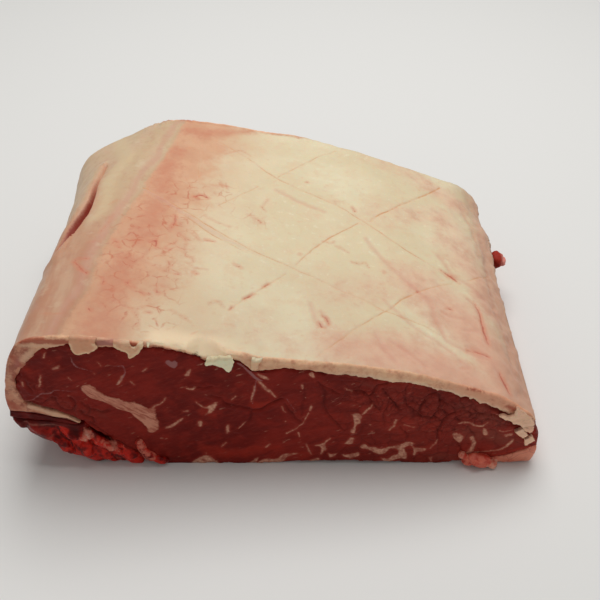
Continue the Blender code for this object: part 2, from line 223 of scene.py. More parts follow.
# Soft tints on top of the fat, as (x, y, reach, strength).
BLUSH = (
    ((-50.2, 76, 10, 0.75), (-40.4, 76, 9, 0.8), (-30, 80, 8, 0.75), (-16, 86, 5, 0.6)),
    ((-6, 87, 3, 0.6), (12, 87, 3, 0.5)),
    ((-53.3, 55.9, 10, 0.75), (-55.9, 36.8, 11, 0.85), (-56.5, 19.1, 10, 0.8)),
    ((-55.5, 11, 11, 0.85), (-57.9, -5.1, 12, 0.8), (-60.9, -20.4, 12, 0.8)),
    ((-62.7, -35.9, 13, 0.85), (-65.4, -51.5, 13, 0.8), (-67, -64.2, 14, 0.75)),
    ((-66.2, -72.9, 17, 0.8), (-67.2, -84.1, 18, 0.85)),
    ((-45.5, -6.1, 12, 0.45), (-40.6, -23.6, 16, 0.35), (-46.4, -45.1, 18, 0.4)),
    ((-33, 24.6, 10, 0.35), (-28.6, 29.3, 7, 0.35)),
    ((27.2, 28.2, 5, 0.4),),
    ((-11.5, 5.7, 8, 0.3), (-14, 12, 9, 0.25)),
    ((78.3, -13.3, 5, 0.45),),
    ((73.9, -37.8, 4, 0.4),),
    ((-92.8, 11.1, 5, 0.5), (-90.8, -7.8, 5, 0.6), (-92.5, -18, 3, 0.6)),
    ((-84, 60, 9, 0.5), (-72, 76, 9, 0.5)),
)
ROSY = (
    ((60, -25, 28, 0.65), (80, -45, 30, 0.85), (92, -62, 26, 1), (94, -78, 24, 1)),
    ((82, 12, 22, 0.55), (94, -8, 20, 0.8), (98, -28, 20, 0.95)),
    ((22, -74, 22, 0.6), (44, -74, 28, 0.8), (66, -78, 28, 0.9), (86, -84, 22, 1)),
    ((20, -42, 22, 0.3), (40, -34, 22, 0.4)),
    ((46, 22, 24, 0.35), (62, 28, 20, 0.4), (80, 34, 20, 0.55), (90, 12, 20, 0.6)),
    ((-30, -66, 20, 0.2), (-8, -66, 20, 0.3), (8, -76, 14, 0.3)),
    ((46.7, 76, 14, 0.35), (70, 66, 16, 0.45), (90, 52, 18, 0.7)),
    (
        (106, 70, 14, 0.8), (105, 30, 14, 1), (105, -20, 14, 1.1), (106, -60, 14, 1.1),
        (106, -84, 14, 1.1),
    ),
    ((-36, 60, 10, 0.3), (-22, 68, 10, 0.25)),
)
# Where the left flank is paler and creamier.
PALE_FLANK = (
    ((-86, 78, 9, 0.8), (-77, 50, 9, 0.9), (-82, 28, 8, 0.8), (-79, 10, 7, 0.8), (-82, -5, 8, 0.7)),
)
# Where a fine net of veins shows.
NETWORK = (
    ((-45, 20, 26, 0.7), (-55, -10, 30, 1), (-58, -40, 30, 1), (-52, -66, 26, 0.8)),
    ((-30, 25, 22, 0.5), (-10, 5, 20, 0.4)),
)
# The break between the flank and the top, from the back cut to the front one, as (x, y).
BREAK = (
    (-52.6, 81.7), (-57.6, 51), (-63.5, 26.1), (-63.6, 17.5), (-67, 6.2), (-70, -8.2), (-73, -21),
    (-74.6, -33.5), (-75, -44.2), (-73.9, -52), (-77.5, -63.5), (-79.3, -75.1), (-80.2, -83.3),
)

# Marks on the front cut, as (x, z, half-width), and the outlines of areas, as (x, z).
FLECKS = (
    ((-61.3, 50.9, 0.66), (-62.2, 49.8, 0.49)),
    ((-60.1, 53.7, 0.33), (-60.9, 50.9, 0.54)),
    ((-46.3, 23, 0.41), (-42.9, 24.9, 0.74), (-38.8, 29.2, 0.33)),
    ((-32.6, 39.4, 0.21), (-30.5, 36.4, 0.29), (-27.7, 35.8, 0.49)),
    ((-86, 57.6, 0.37), (-84.3, 58.6, 0.54), (-83.4, 59.2, 0.29)),
    ((-91.8, 53.7, 0.33), (-92.5, 50.3, 0.41), (-93.4, 48.1, 0.25)),
    ((-99.5, 50.3, 0.33), (-99.5, 48.6, 0.33)),
    ((-87.4, 66.1, 0.25), (-88.3, 63.5, 0.33)),
    ((-70.7, 55.4, 0.29),),
    ((-57, 50.9, 0.25), (-56, 49.2, 0.25)),
    ((-35.5, 46.9, 0.33), (-34, 46.4, 0.58), (-32.4, 47.5, 0.29)),
    ((-49.8, 35.8, 0.21), (-47.1, 38.2, 0.29), (-44.4, 41.2, 0.16)),
    ((-38, 33.4, 0.25), (-36.4, 33.4, 0.41)),
    ((-49.3, 36.4, 0.25), (-51.7, 32.8, 0.82)),
    ((-7.4, 54.8, 0.41), (-5.1, 53.1, 0.82), (-3.6, 52, 0.41)),
    ((-7.5, 50.9, 0.41), (-4.9, 46.9, 0.58), (-0.7, 42.3, 0.25)),
    ((-8.8, 48.1, 0.21), (-9.4, 43.5, 0.45), (-10.7, 38.8, 0.21)),
    ((-13.3, 26.7, 0.25), (-16.3, 23, 0.41)),
    ((12.4, 31.6, 0.25), (8.8, 24.2, 0.21), (3.4, 19.2, 0.37)),
    ((8, 19.8, 0.37), (8.8, 17.3, 0.21)),
    ((3.1, 27.3, 0.33),),
    ((-31.1, 6.8, 0.33),),
    ((11.3, 12.7, 0.25), (13.5, 6.1, 0.25)),
    ((-5.5, 10.8, 0.41), (-3.8, 12.7, 0.37)),
    ((34.3, 31.6, 0.37), (38, 37.6, 0.25)),
    ((38.6, 20.5, 0.29),),
    ((37.5, 24.9, 0.29),),
    ((43.7, 41.2, 0.21),),
    ((51.4, 25.5, 0.25), (55.6, 24.2, 0.21)),
    ((66, 15.3, 0.21), (63.6, 10.1, 0.21)),
    ((64.3, 3.4, 0.29), (65.9, 0, 0.21)),
    ((-24, 10.8, 0.21), (-22.2, 14, 0.25)),
    ((-20.8, 24.2, 0.29), (-21.4, 19.8, 0.21)),
    ((-52.5, 67.7, 0.21),),
    ((1.6, 36.4, 0.21), (2.7, 32.8, 0.21)),
    ((26.5, 46.9, 0.16), (29.3, 44.6, 0.21)),
    ((-18.3, 40, 0.16), (-16.5, 42.3, 0.21)),
    ((-68.2, 61.4, 0.21), (-67.3, 59.7, 0.16)),
    ((-51.7, 55.9, 0.16), (-50.3, 57.6, 0.25)),
    ((-81.1, 53.1, 0.21), (-80.2, 51.5, 0.16)),
    ((64.8, 3.8, 0.31), (65.4, 0.4, 0.41)),
    ((73.7, 26, 0.26), (76.7, 26.4, 0.36), (79.4, 25.2, 0.3)),
    ((83, 7.1, 0.31), (88.2, 8, 0.3), (93.3, 9.2, 0.4), (96.4, 11.3, 0.4), (97.6, 14.5, 0.3)),
    ((91, 21.2, 0.2), (92.8, 20.7, 0.25), (94.8, 21.2, 0.25), (96.1, 21.7, 0.2)),
    ((78.4, 25.4, 0.2), (80.6, 24.3, 0.3), (83.1, 23.8, 0.45), (84.6, 25.2, 0.2), (85.8, 26.4, 0.2)),
    ((88.3, 31, 0.21), (91.6, 29.5, 0.41), (96, 27.2, 0.31)),
    ((48, 28.3, 0.26), (47.2, 24.9, 0.46), (45.9, 21.7, 0.46)),
)
PATCHES = (
    (
        (30.1, 31), (32, 32.2), (34.2, 30.3), (33.5, 28), (33.6, 25.6), (31.9, 24.1), (31.3, 20.1),
        (29.5, 20.1), (29.7, 21.7), (30.9, 23.3), (30.5, 27.2),
    ),
    ((29.6, 17), (31.4, 16.5), (30.3, 12.5), (27.7, 12.9), (28.7, 14.5)),
    ((-37.4, -0.5), (-35.3, 2.9), (-33.3, 4.6), (-31.1, 5.5), (-29, 4.2), (-27.6, 2.1), (-26.1, -0.5)),
    (
        (-9.5, -1.3), (-8.6, 1.7), (-5.1, 2.9), (-2.4, 2.5), (-0.3, 3.4), (1.4, 5.9), (4.6, 6.7),
        (8.3, 6.7), (4.5, 5), (2.1, 2.1), (0.8, 0.8), (-0.9, -1.3),
    ),
    ((-13.8, -1.3), (-11.5, 1.7), (-9.3, 4.2), (-10, 0.8), (-11.7, -1.3)),
    ((11.5, -0.5), (13.6, 2.1), (17.1, 3.4), (16.8, 0.8), (14.7, -1.3)),
    (
        (15.1, 12.1), (18.2, 13.3), (19.8, 15.7), (21.5, 17), (20.8, 15.3), (19.3, 12.9), (19.9, 9.2),
        (18.6, 8), (17.3, 5.5), (18, 9.6), (17.2, 11.3),
    ),
    ((20.7, 6.7), (22.1, 5.9), (24.2, 5.9), (22.1, 3.8)),
    ((26.4, 5), (30.1, 5.5), (33.2, 6.7), (33.8, 5.5), (30.2, 3.4)),
    (
        (-28.8, 36.3), (-27.2, 37.4), (-24.4, 38.5), (-25.7, 34.4), (-27.3, 32.5), (-28.3, 32.9),
        (-27.9, 35.2),
    ),
    ((-32.8, 26.8), (-31.5, 27.3), (-31.5, 24.1), (-32.7, 24.5)),
    ((-20.9, 24.9), (-20.2, 24.9), (-20.2, 21.7), (-20.9, 20.5)),
    ((-35.7, 53.6), (-34.7, 56.3), (-33.2, 57.4), (-34.2, 53.9)),
    ((12.8, 36.7), (13.6, 36.3), (13.3, 33.3), (12.7, 33.7)),
    ((12.2, 54.9), (13.6, 56), (14.8, 53.6), (13.9, 52.9)),
    ((9.3, 49.4), (10, 48.6), (10.3, 46.9), (9.3, 47.2)),
    ((72.1, 18.6), (73.4, 20.1), (76.9, 17.8), (75.8, 14.1), (74, 15.3)),
    ((79.5, 17.4), (81.1, 17), (82.5, 12.9), (82.1, 8), (79.4, 6.3), (80.4, 10.4), (80.8, 13.7)),
    ((84, 22.5), (85.6, 21.7), (86.5, 19.3), (85, 18.6)),
    ((93.9, 18.6), (96.8, 19.3), (96.6, 17.8), (94.6, 17)),
    ((94.6, 9.9), (95.7, 12.1), (97.5, 15.3), (98.2, 14.5), (96.7, 10.9)),
    (
        (34.1, 10.9), (35.5, 12.7), (37.7, 10.9), (40.7, 10.6), (42.3, 9.5), (44.9, 9.8), (47.5, 10.9),
        (50.8, 12.3), (52.8, 13.7), (54.9, 13.9), (57.1, 12.7), (56.1, 11.4), (54.8, 11.9),
        (53.5, 10.9), (52.3, 9.8), (50.2, 9.2), (48.3, 10.0), (46.3, 9.0), (44.8, 7.5), (42.8, 6.3),
        (40.6, 7.1), (38.9, 8.6), (36.2, 9.5),
    ),
    (
        (50.2, 9.2), (52.6, 10.0), (53.3, 7.5), (54.1, 5.5), (53.7, 2.9), (51.8, 3.4), (48.9, 2.3),
        (46.3, 1.2), (44.2, 2.3), (43.2, 4.2), (45.6, 3.4), (48.2, 5.0), (50.2, 5.6), (50.6, 7.1),
    ),
    (
        (56.1, 11.4), (57.3, 10.0), (59.4, 9.8), (61.9, 9.8), (61.2, 8.0), (58.6, 7.5), (57.8, 5.5),
        (56.9, 5.9), (57.0, 8.4),
    ),
    ((30.1, 5.5), (31.6, 5.9), (33.5, 6.3), (33.8, 5.0), (31.7, 3.8), (30.2, 2.9)),
)
GRISTLE = (
    (
        (-77.3, 46.9), (-74.7, 49), (-72.6, 48.3), (-70, 44.7), (-67, 42.2), (-63.2, 40.7),
        (-60.5, 38.9), (-57.1, 38.5), (-54.7, 37), (-52, 34.8), (-49.5, 35.2), (-49.5, 32.5),
        (-49.4, 28.7), (-48.7, 26.4), (-49.6, 22.9), (-51.4, 20.5), (-53.7, 20.5), (-53.9, 23.3),
        (-56.4, 28), (-58.1, 30.3), (-59.8, 32.9), (-63.7, 34), (-66.3, 37), (-69.8, 39.6),
        (-73.6, 41.1), (-75.3, 42.9),
    ),
)
MEMBRANES = (
    ((-15.9, 61.9, 0.41), (-11.9, 57.6, 0.54), (-8.3, 52.6, 0.74), (-6, 50.9, 0.33)),
    ((-10.8, 56.5, 0.21), (-5.8, 56.5, 0.25), (-0.4, 57, 0.21), (4.2, 57.6, 0.16)),
    ((-8.3, 50.9, 0.21), (-9, 43.5, 0.21), (-10.4, 37.6, 0.16)),
    ((3.2, 41.2, 0.12), (7.2, 32.8, 0.16)),
    ((-77.9, 63.8, 0.21), (-77.7, 59.7, 0.36), (-75.6, 58, 0.26), (-71.1, 56.3, 0.15)),
    (
        (-63.9, 59.4, 0.21), (-60.6, 58.9, 0.21), (-58.9, 59.1, 0.26), (-58.9, 55.6, 0.31),
        (-60.4, 52.2, 0.41), (-63, 49.4, 0.15),
    ),
    ((-56.7, 50.4, 0.15), (-56.1, 48.6, 0.15)),
    (
        (-100.7, 39.6, 0.21), (-97, 40.7, 0.21), (-93.3, 44, 0.31), (-89.7, 44.7, 0.31),
        (-87.3, 45.9, 0.21), (-83.8, 45.1, 0.15), (-79, 44.4, 0.15),
    ),
    ((-41.6, 61.2, 1.2), (-39.8, 59.6, 1.6), (-38.9, 60.8, 1.2)),
)
GROOVES = (
    (
        (28.5, 44.9, 0.18), (31.4, 45.1, 0.3), (33.9, 44.4, 0.3), (36, 42.2, 0.3), (37.6, 44.4, 0.3),
        (38.7, 46.9, 0.3), (39.5, 48.6, 0.18),
    ),
    ((41.3, 46.2, 0.3), (43.5, 42.2, 0.5), (45.7, 38.9, 0.5), (47.1, 37, 0.5), (48.6, 34.4, 0.3)),
    ((39.4, 48.6, 0.15), (41.1, 49.2, 0.25), (43.4, 49.7, 0.15)),
    ((36, 42.2, 0.13), (36.9, 40, 0.22), (38.8, 37, 0.22), (40.7, 34.6, 0.13)),
    ((43.5, 34.4, 0.13), (44, 37.8, 0.22), (44.1, 41.1, 0.13)),
    ((50.4, 47.9, 0.12), (50.6, 44.4, 0.2), (50.6, 40, 0.2), (51.4, 37, 0.12)),
    (
        (56.3, 32.2, 0.19), (57, 34.8, 0.32), (57.8, 37.8, 0.32), (58.8, 40.4, 0.32),
        (60.2, 42.8, 0.32), (62.6, 43.8, 0.32), (64.2, 41.8, 0.32), (64.7, 38.9, 0.32),
        (64.3, 34.8, 0.32), (63.5, 31, 0.32), (62.1, 29.3, 0.32), (59.5, 30.1, 0.32), (57.4, 31, 0.32),
        (56.3, 32.2, 0.19),
    ),
    (
        (64.4, 42.2, 0.17), (66.1, 39.3, 0.28), (68.3, 37.4, 0.28), (70.6, 34.8, 0.28),
        (71.4, 32.9, 0.17),
    ),
    (
        (63.6, 30.3, 0.17), (65.6, 27.8, 0.28), (67.3, 28.9, 0.28), (68.3, 30.6, 0.28),
        (66.8, 34, 0.28), (65.1, 35.2, 0.17),
    ),
    (
        (68.3, 30.6, 0.13), (70.9, 32.4, 0.22), (73.3, 33.3, 0.22), (75.2, 34, 0.22),
        (78.4, 31.2, 0.22), (79.2, 31, 0.13),
    ),
    ((72, 29.5, 0.13), (74, 27.8, 0.22), (77.1, 27.3, 0.22), (79.2, 28.7, 0.22), (80.6, 31.4, 0.13)),
    ((76.5, 40, 0.15), (78.1, 37, 0.25), (78.9, 34, 0.25), (81.1, 31.8, 0.25), (84.2, 31.2, 0.15)),
    ((83, 37.6, 0.27), (84.5, 35.9, 0.45), (86.8, 34, 0.45), (89.5, 32.9, 0.5), (91.5, 32.7, 0.3)),
    ((67.3, 29.5, 0.25), (66.7, 27.2, 0.42), (66, 24.1, 0.42), (65.8, 20.1, 0.42), (66.2, 15.3, 0.25)),
    ((49.9, 24.1, 0.13), (51.4, 20.9, 0.22), (53, 18.6, 0.22), (53.6, 16.1, 0.13)),
    ((52.9, 36.3, 0.13), (54.1, 34, 0.22), (55.8, 31.9, 0.13)),
    ((43.1, 33.7, 0.1), (42.6, 29.5, 0.16), (43.4, 24.9, 0.1)),
    ((84.2, 31.2, 0.17), (88.9, 30.3, 0.28), (92.3, 28, 0.28), (95.8, 25.6, 0.45), (98.3, 24.5, 0.3)),
    ((77.6, 24.1, 0.15), (78.9, 21.7, 0.25), (80.6, 18.6, 0.25), (82.1, 13.7, 0.25), (82.2, 8.8, 0.15)),
    ((72.9, 16.1, 0.12), (75.5, 12.1, 0.2), (77.1, 8, 0.12)),
    ((72.5, 40, 0.12), (73.8, 37, 0.2), (75.2, 34, 0.12)),
    (
        (16.1, 50.1, 0.16), (18.4, 45.8, 0.26), (18.5, 41.5, 0.26), (18.8, 35.5, 0.26),
        (21.5, 29.5, 0.26), (24.7, 24.9, 0.26), (26.6, 22.1, 0.16),
    ),
    ((15.6, 50.4, 0.13), (18.6, 47.9, 0.22), (22.6, 44.4, 0.22), (24.1, 43.3, 0.13)),
    ((2.8, 37.8, 0.11), (4.8, 33.3, 0.18), (6.8, 29.5, 0.18), (8.8, 27.2, 0.11)),
    (
        (-11.3, 35.5, 0.19), (-10.3, 34, 0.32), (-6.3, 35.2, 0.32), (-3.7, 37.4, 0.32),
        (-0.7, 40, 0.32), (1.8, 40.7, 0.19),
    ),
    (
        (-26.3, 42.9, 0.11), (-22.9, 41.5, 0.18), (-21.1, 38.5, 0.18), (-18.2, 37, 0.18),
        (-14.3, 36.3, 0.18), (-11.3, 35.2, 0.11),
    ),
    ((-33.3, 47.9, 0.12), (-29.4, 47.2, 0.2), (-25.5, 47.9, 0.12)),
    ((10.3, 49.4, 0.08), (10.5, 43.6, 0.14), (9.8, 37, 0.14), (9.3, 31, 0.08)),
    ((-100, 38.1, 0.12), (-97.3, 39.3, 0.2), (-94.5, 38.1, 0.2), (-91.7, 40, 0.2), (-89.3, 42.2, 0.12)),
    (
        (-88.4, 41.5, 0.15), (-87.8, 37, 0.25), (-85.8, 34, 0.25), (-83.4, 33.7, 0.25),
        (-81.5, 35.5, 0.25), (-81, 38.5, 0.25), (-82, 41.5, 0.15),
    ),
    ((-78.5, 38.5, 0.14), (-76.5, 35.5, 0.24), (-73.7, 34, 0.24), (-71, 32.5, 0.24), (-67.7, 34, 0.14)),
    ((-79.8, 34, 0.13), (-78.3, 31, 0.22), (-75.5, 29.5, 0.22), (-75, 26.4, 0.13)),
    ((-76.3, 37, 0.13), (-75.8, 34, 0.22), (-77.8, 31, 0.13)),
    ((-98.3, 50.8, 0.12), (-97.7, 47.9, 0.2), (-96.6, 45.1, 0.12)),
    ((-101.1, 55.6, 0.18), (-100.2, 52.9, 0.3), (-101.1, 50.1, 0.18)),
    ((-11.3, 34, 0.16), (-11.1, 29.8, 0.25), (-16.4, 21.7, 0.16)),
    ((-77, 26.7, 0.21), (-70.1, 17.9, 0.33), (-63.5, 11.4, 0.33), (-59, 7.5, 0.25)),
)
CHAIN_LINE = (
    (
        (-104, 26.9, 0.2), (-100.6, 26, 0.3), (-96, 24.9, 0.35), (-91.5, 24.7, 0.3), (-88, 23.6, 0.15),
    ),
)
# Soft tints on the front cut, as (x, z, reach, strength): where the lean is ruddier or duller.
RUDDY = (
    (
        (-30.3, 8.8, 7, 0.9), (-22.6, 6, 7, 1), (-14.5, 7.1, 7, 1), (-6.5, 10.4, 6, 0.9),
        (-0.7, 11.3, 5, 0.7),
    ),
    ((4, 3.8, 5, 0.8), (12, 5.5, 5, 0.7)),
    ((-30.5, 33.3, 5, 1), (-27.1, 31, 5, 0.8)),
    ((-10.2, 37, 4, 0.9), (-7.2, 36.3, 4, 1), (-3.7, 38.5, 4, 0.8)),
    ((-14.5, 52.9, 8, 0.5), (-10.9, 44.4, 7, 0.5)),
    ((-97.2, 57.7, 4, 0.8), (-95.8, 55.6, 4, 0.7)),
    ((20, 25, 16, 0.45), (34, 40, 12, 0.4), (48, 24, 15, 0.75), (62, 24, 12, 0.7)),
    ((86.4, 5.5, 2.6, 1), (91.5, 4.8, 2.6, 1), (98.8, 8, 2.6, 1), (105.7, 10.4, 2.4, 1)),
    ((104, 22, 3, 0.9), (106.5, 14, 2.5, 1)),
)
DULL = (
    ((74, 35.5, 10, 0.6), (81.8, 33, 9, 0.9), (89, 27, 8, 1)),
    ((78.6, 20.1, 9, 0.9), (86.6, 18.6, 9, 1), (94.9, 15.3, 7, 1), (99.4, 13.7, 4, 0.8)),
    ((33.2, 49.4, 3, 0.7), (38.2, 47.2, 3, 0.7)),
    ((-95, 42.9, 3, 0.4), (-85.7, 36, 9, 0.4), (-72, 31, 8, 0.4)),
    ((-35.1, 44.4, 6, 0.3), (-17.9, 42.2, 6, 0.4)),
    ((67.3, 5.5, 6, 0.7), (73.9, 3.8, 5, 0.7)),
)
# Where the cut lean is creased into small bundles.
CREASED = (
    ((44, 44, 10, 0.6), (60, 36, 15, 0.9), (76, 32, 12, 1), (88, 28, 9, 0.9), (97, 25, 5, 0.6)),
    ((62, 24, 11, 0.7), (74, 24, 9, 0.7), (30, 44, 12, 0.6), (48, 34, 10, 0.5)),
    ((-94, 48, 9, 0.5), (-84, 36, 9, 0.5), (-74, 30, 8, 0.4)),
)
# Where the fat's cut face is creamier, browner or purple. The second creamy row is a painted highlight: a
# pale line along the top of the purple patch.
CREAMY_AND_HIGHLIT = (
    ((-98, 69.8, 1.2, 0.6), (-92.8, 69.8, 1.3, 0.9), (-87.3, 69.8, 1.2, 0.9), (-78.2, 70.2, 1.2, 0.9)),
    ((-66, 73.2, 0.9, 0.8), (-61.4, 73.2, 0.9, 0.8)),
    ((-92.4, 67.1, 2.6, 0.7), (-96.2, 62.4, 3, 0.8)),
    ((-103.8, 54.3, 2, 0.4), (-104.4, 47.2, 3, 0.4), (-102.8, 41.5, 3, 0.35)),
    ((-99.5, 36.2, 2.0, 0.9), (-94, 33.3, 2.2, 1), (-88.4, 30, 2.2, 1), (-82.9, 27, 2.0, 1)),
    ((-93.1, 27.8, 1, 1),),
)
RUSTY = (
    (
        (-54.5, 70.4, 2, 1), (-48.3, 69.9, 1.8, 1), (-42.8, 68.2, 1.5, 1), (-33.7, 65.4, 1.4, 1),
        (-27.3, 62.8, 1.4, 0.9),
    ),
    (
        (-97, 72, 2, 0.6), (-94.9, 72.6, 2.6, 0.8), (-88.9, 72.3, 2.8, 1), (-78.8, 71.6, 2.8, 1),
        (-70, 71.4, 2.4, 1),
    ),
    ((92.2, 36.4, 2.4, 0.7), (94.6, 34, 2.4, 0.7)),
    ((-98, 60, 3, 0.5), (-101, 65, 4, 0.5)),
    ((-110, 44, 4, 0.5), (-108, 37.5, 4, 0.8), (-103, 35, 3, 0.6)),
    ((74.5, 46.3, 1, 0.8), (78, 45.2, 1, 0.8), (81.5, 44, 0.8, 0.5)),
)
PURPLE = (((-66.4, 71.2, 2.8, 1), (-61.2, 71.4, 2.8, 1)), ((-98, 63.1, 3, 0.4), (-99.7, 59.7, 3, 0.4)))
# The outline of the strip of fat under the lean's left end, as (x, z), and the line under it.
STRIP = (
    (-118, 40.5), (-108.8, 38.9), (-104.4, 38.7), (-100.4, 38.0), (-96.5, 36.2), (-93.7, 35), (-90, 33.6),
    (-87.2, 32.4), (-84.5, 30.5), (-82.4, 28.2), (-80, 25.4), (-82, 26.2), (-86, 29.2), (-91.7, 30.4),
    (-97.2, 32.5), (-102.9, 33.6), (-108.2, 33.6), (-118, 34.5),
)
UNDER_STRIP = ((-112, 36.5), (-80, 27))
# The foot of the dark band over the trim, as (x, z).
BAND_FOOT = (
    (-110, 28.4), (-104.4, 27.2), (-100.6, 26), (-97.4, 24.1), (-93, 23.3), (-88.8, 23.7), (-86.1, 21.3),
    (-83.2, 20.1), (-80, 18),
)
# The pale band between the two score lines that run side by side.
SCAR = (((-63, 17.6, 1), (-52.6, 10.1, 1.5), (-37, -1.9, 1.5), (-25, -11.5, 1.2), (-14, -18.2, 0.6)),)

# The front seam between lean and fat, as (x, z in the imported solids, z here).
SEAM = (
    (-78, 70.2, 69.2), (-67.7, 70.2, 69), (-61.6, 69.8, 68.6), (-55, 69.2, 68.2), (-51.5, 68.7, 68.8),
    (-49.7, 68.5, 68.7), (-47.4, 68.1, 68.8), (-45.9, 67.8, 69.2), (-42.9, 67.2, 68.3),
    (-40.7, 66.8, 67.8), (-38.5, 66.3, 67.3), (-36.3, 65.7, 66.5), (-34.2, 65.2, 66.5),
    (-32, 64.6, 64.6), (-29.8, 64, 62.6), (-27.3, 63.4, 61.9), (-20, 61.7, 62), (-16.3, 60.9, 61.7),
    (-14, 60.5, 61.3), (-11.8, 60.2, 58.9), (-10, 59.9, 56.3), (-7.3, 59.5, 56.3), (-5.1, 59.2, 56),
    (-2.7, 58.9, 56.6), (-0.4, 58.5, 57.1), (1.9, 58.2, 57.7), (4.2, 57.9, 56.9), (6.5, 57.6, 57),
    (8.8, 57.3, 56.7), (11.1, 57, 56.6), (13.4, 56.6, 56.3), (15.7, 56.3, 55.5), (18, 56, 54.6),
    (20.4, 55.6, 54), (22.7, 55.3, 53.7), (25, 55, 53.7), (27.3, 54.6, 53.5), (29.7, 54.2, 52.9),
    (34.4, 53.3, 52.3), (39.1, 52.5, 51.4), (41.5, 52, 50), (43.9, 51.6, 49.5), (46.2, 51.2, 49.8),
    (47.7, 50.9, 49.8), (53.3, 49.2, 48.8), (55.7, 48.4, 48.1), (57.7, 47.8, 48), (60.6, 46.6, 46.4),
    (62.7, 45.8, 45.1), (65.5, 44.8, 44.6), (70.5, 42.9, 42.7), (73, 41.8, 41), (77.9, 39.7, 40),
    (80.7, 38.5, 36.9), (83.1, 37.4, 36.9), (88.4, 34.9, 33.7), (92, 33.2, 31.6), (97, 30.7, 28.9),
)
SEAM_X, PACKED_SEAM, TORN_SEAM = np.array(SEAM).T
# Outlines of the torn scraps of fat over the front cut, as (x, z), with any holes.
FLAP_1 = (
    (-75.3, 79.2), (-76.3, 76.4), (-77.2, 71.0), (-76.6, 68.0), (-75.7, 66.5), (-74.5, 66.2),
    (-73, 66.6), (-71.3, 67.2), (-70.4, 66.8), (-69.3, 67.7), (-67.7, 68.6), (-66.7, 69.6),
    (-67.2, 70.8), (-67.7, 72.0), (-66.7, 73.3), (-65.3, 75.2), (-63.9, 78),
)
FLAP_2 = (
    (-59.2, 80.5), (-59.9, 77.3), (-60.6, 74.5), (-60.9, 71.7), (-60.6, 70.0), (-59.1, 69.0),
    (-58.1, 68.0), (-56.5, 67.2), (-56.1, 65.0), (-55.6, 63.9), (-54.3, 64.7), (-52.9, 66.1),
    (-51.4, 67.6), (-50.2, 69.6), (-49.7, 71.7), (-49.6, 73.9), (-49.5, 76.5), (-49.3, 79.6),
)
FLAP_2_HOLE = (
    (-54.6, 74.4), (-52.8, 74.7), (-51.3, 74.2), (-51.1, 72.3), (-51.5, 70.8), (-52.6, 69.8),
    (-53.8, 69.6), (-54.6, 70.6), (-54.9, 72.5),
)
SHRED = (
    (-49.4, 77.6), (-49.3, 76.2), (-49.1, 74.9), (-49.3, 73.3), (-49.0, 71.6), (-48.4, 69.6),
    (-47.8, 69.4), (-47.3, 70.6), (-46.5, 70.7), (-46.1, 72.0), (-46.6, 73.6), (-46.0, 75.8), (-45.6, 77.6),
)
FLAP_3 = (
    (-25.0, 68.2), (-25.9, 65.3), (-27.4, 60.4), (-25.4, 60.8), (-23.2, 59.8), (-21.0, 59.6), (-19.7, 58.2),
    (-18.7, 56.6), (-17.6, 57.9), (-16.3, 61.6), (-16.9, 63.1), (-17.9, 65.2), (-19.6, 68.2),
)
FOLD = (
    (-10.6, 67.5), (-9.9, 64.7), (-9.6, 62.0), (-10.1, 57.9), (-8.8, 58.0), (-7.4, 58.2), (-6.8, 60.7),
    (-5.4, 62.3), (-5.0, 64.0), (-5.9, 66.0), (-7.0, 67.6),
)
END_FAT = (
    (95.6, 36.4), (98.4, 33.8), (101.4, 31.0), (104.2, 28.0), (104.4, 25.4), (102.4, 25.9),
    (99.8, 25.0), (97.5, 26.8), (95.5, 27.4), (93.5, 29.1), (90.5, 30.7), (89.1, 31.9), (91.0, 32.4),
    (93.4, 31.8), (95.2, 32.8),
)
END_LUMP = ((99.9, 25.2), (102.3, 25.8), (104.4, 25.2), (104.4, 22.4), (103.2, 21.2), (101.2, 22.8))
# Two squarish scraps of it at the right end.
CUBE_1 = ((97.0, 22.4), (99.7, 24.4), (102.8, 20.6), (101.0, 18.3))
CUBE_2 = ((101.8, 17.4), (104.6, 20.0), (106.3, 16.5), (102.6, 13.7))
HEMMED = (FLAP_1, FLAP_2, SHRED, FLAP_3, END_FAT)
HEMS_BELOW = 72  # z up to which these scraps are paler along their edge
# Lumps of the trim and of the tail fat, as (x, y, z), (half sizes), turn and paleness.
TRIM_LUMPS = (
    ((-99.5, -81, 24.0), (5.5, 3.5, 2.8), -32, 0.0),
    ((-95.5, -81.5, 20.0), (5.0, 3.6, 3.2), -25, 0.1),
    ((-91.0, -82, 15.5), (5.5, 3.6, 3.2), -38, 0.0),
    ((-88.5, -81.5, 9.8), (3.6, 3.4, 2.6), -40, 0.0),
    ((-85.0, -81.5, 19.0), (4.5, 3.4, 3.0), -10, 0.0),
    ((-80.3, -83.2, 18.6), (2.8, 2.4, 2.6), -20, 0.9),
    ((-81.2, -83, 10.5), (2.9, 3.2, 5.2), -8, 0.25),
    ((-75.2, -81.5, 14.5), (3.0, 3.4, 4.6), 12, 0.35),
    ((-71.0, -82.8, 12.4), (1.9, 2.8, 4.2), 32, 0.75),
    ((-67.2, -82.6, 9.4), (2.6, 3.0, 2.4), -30, 0.5),
    ((-63.2, -82.2, 6.6), (3.0, 3.0, 2.4), -25, 0.25),
    ((-73.5, -80.5, 5.0), (5.0, 3.4, 3.4), -10, 0.0),
    ((-66.0, -80.5, 3.2), (4.6, 3.4, 2.4), -5, 0.0),
)
SLAB = (
    ((-57.6, -83.6, 12.2), (2.2, 1.5, 4.2), 16, 0.65),
    ((-55.2, -83.7, 6.6), (2.1, 1.6, 3.4), 24, 0.65),
    ((-50.6, -83.6, 3.2), (3.8, 1.4, 1.3), -16, 0.45),
)
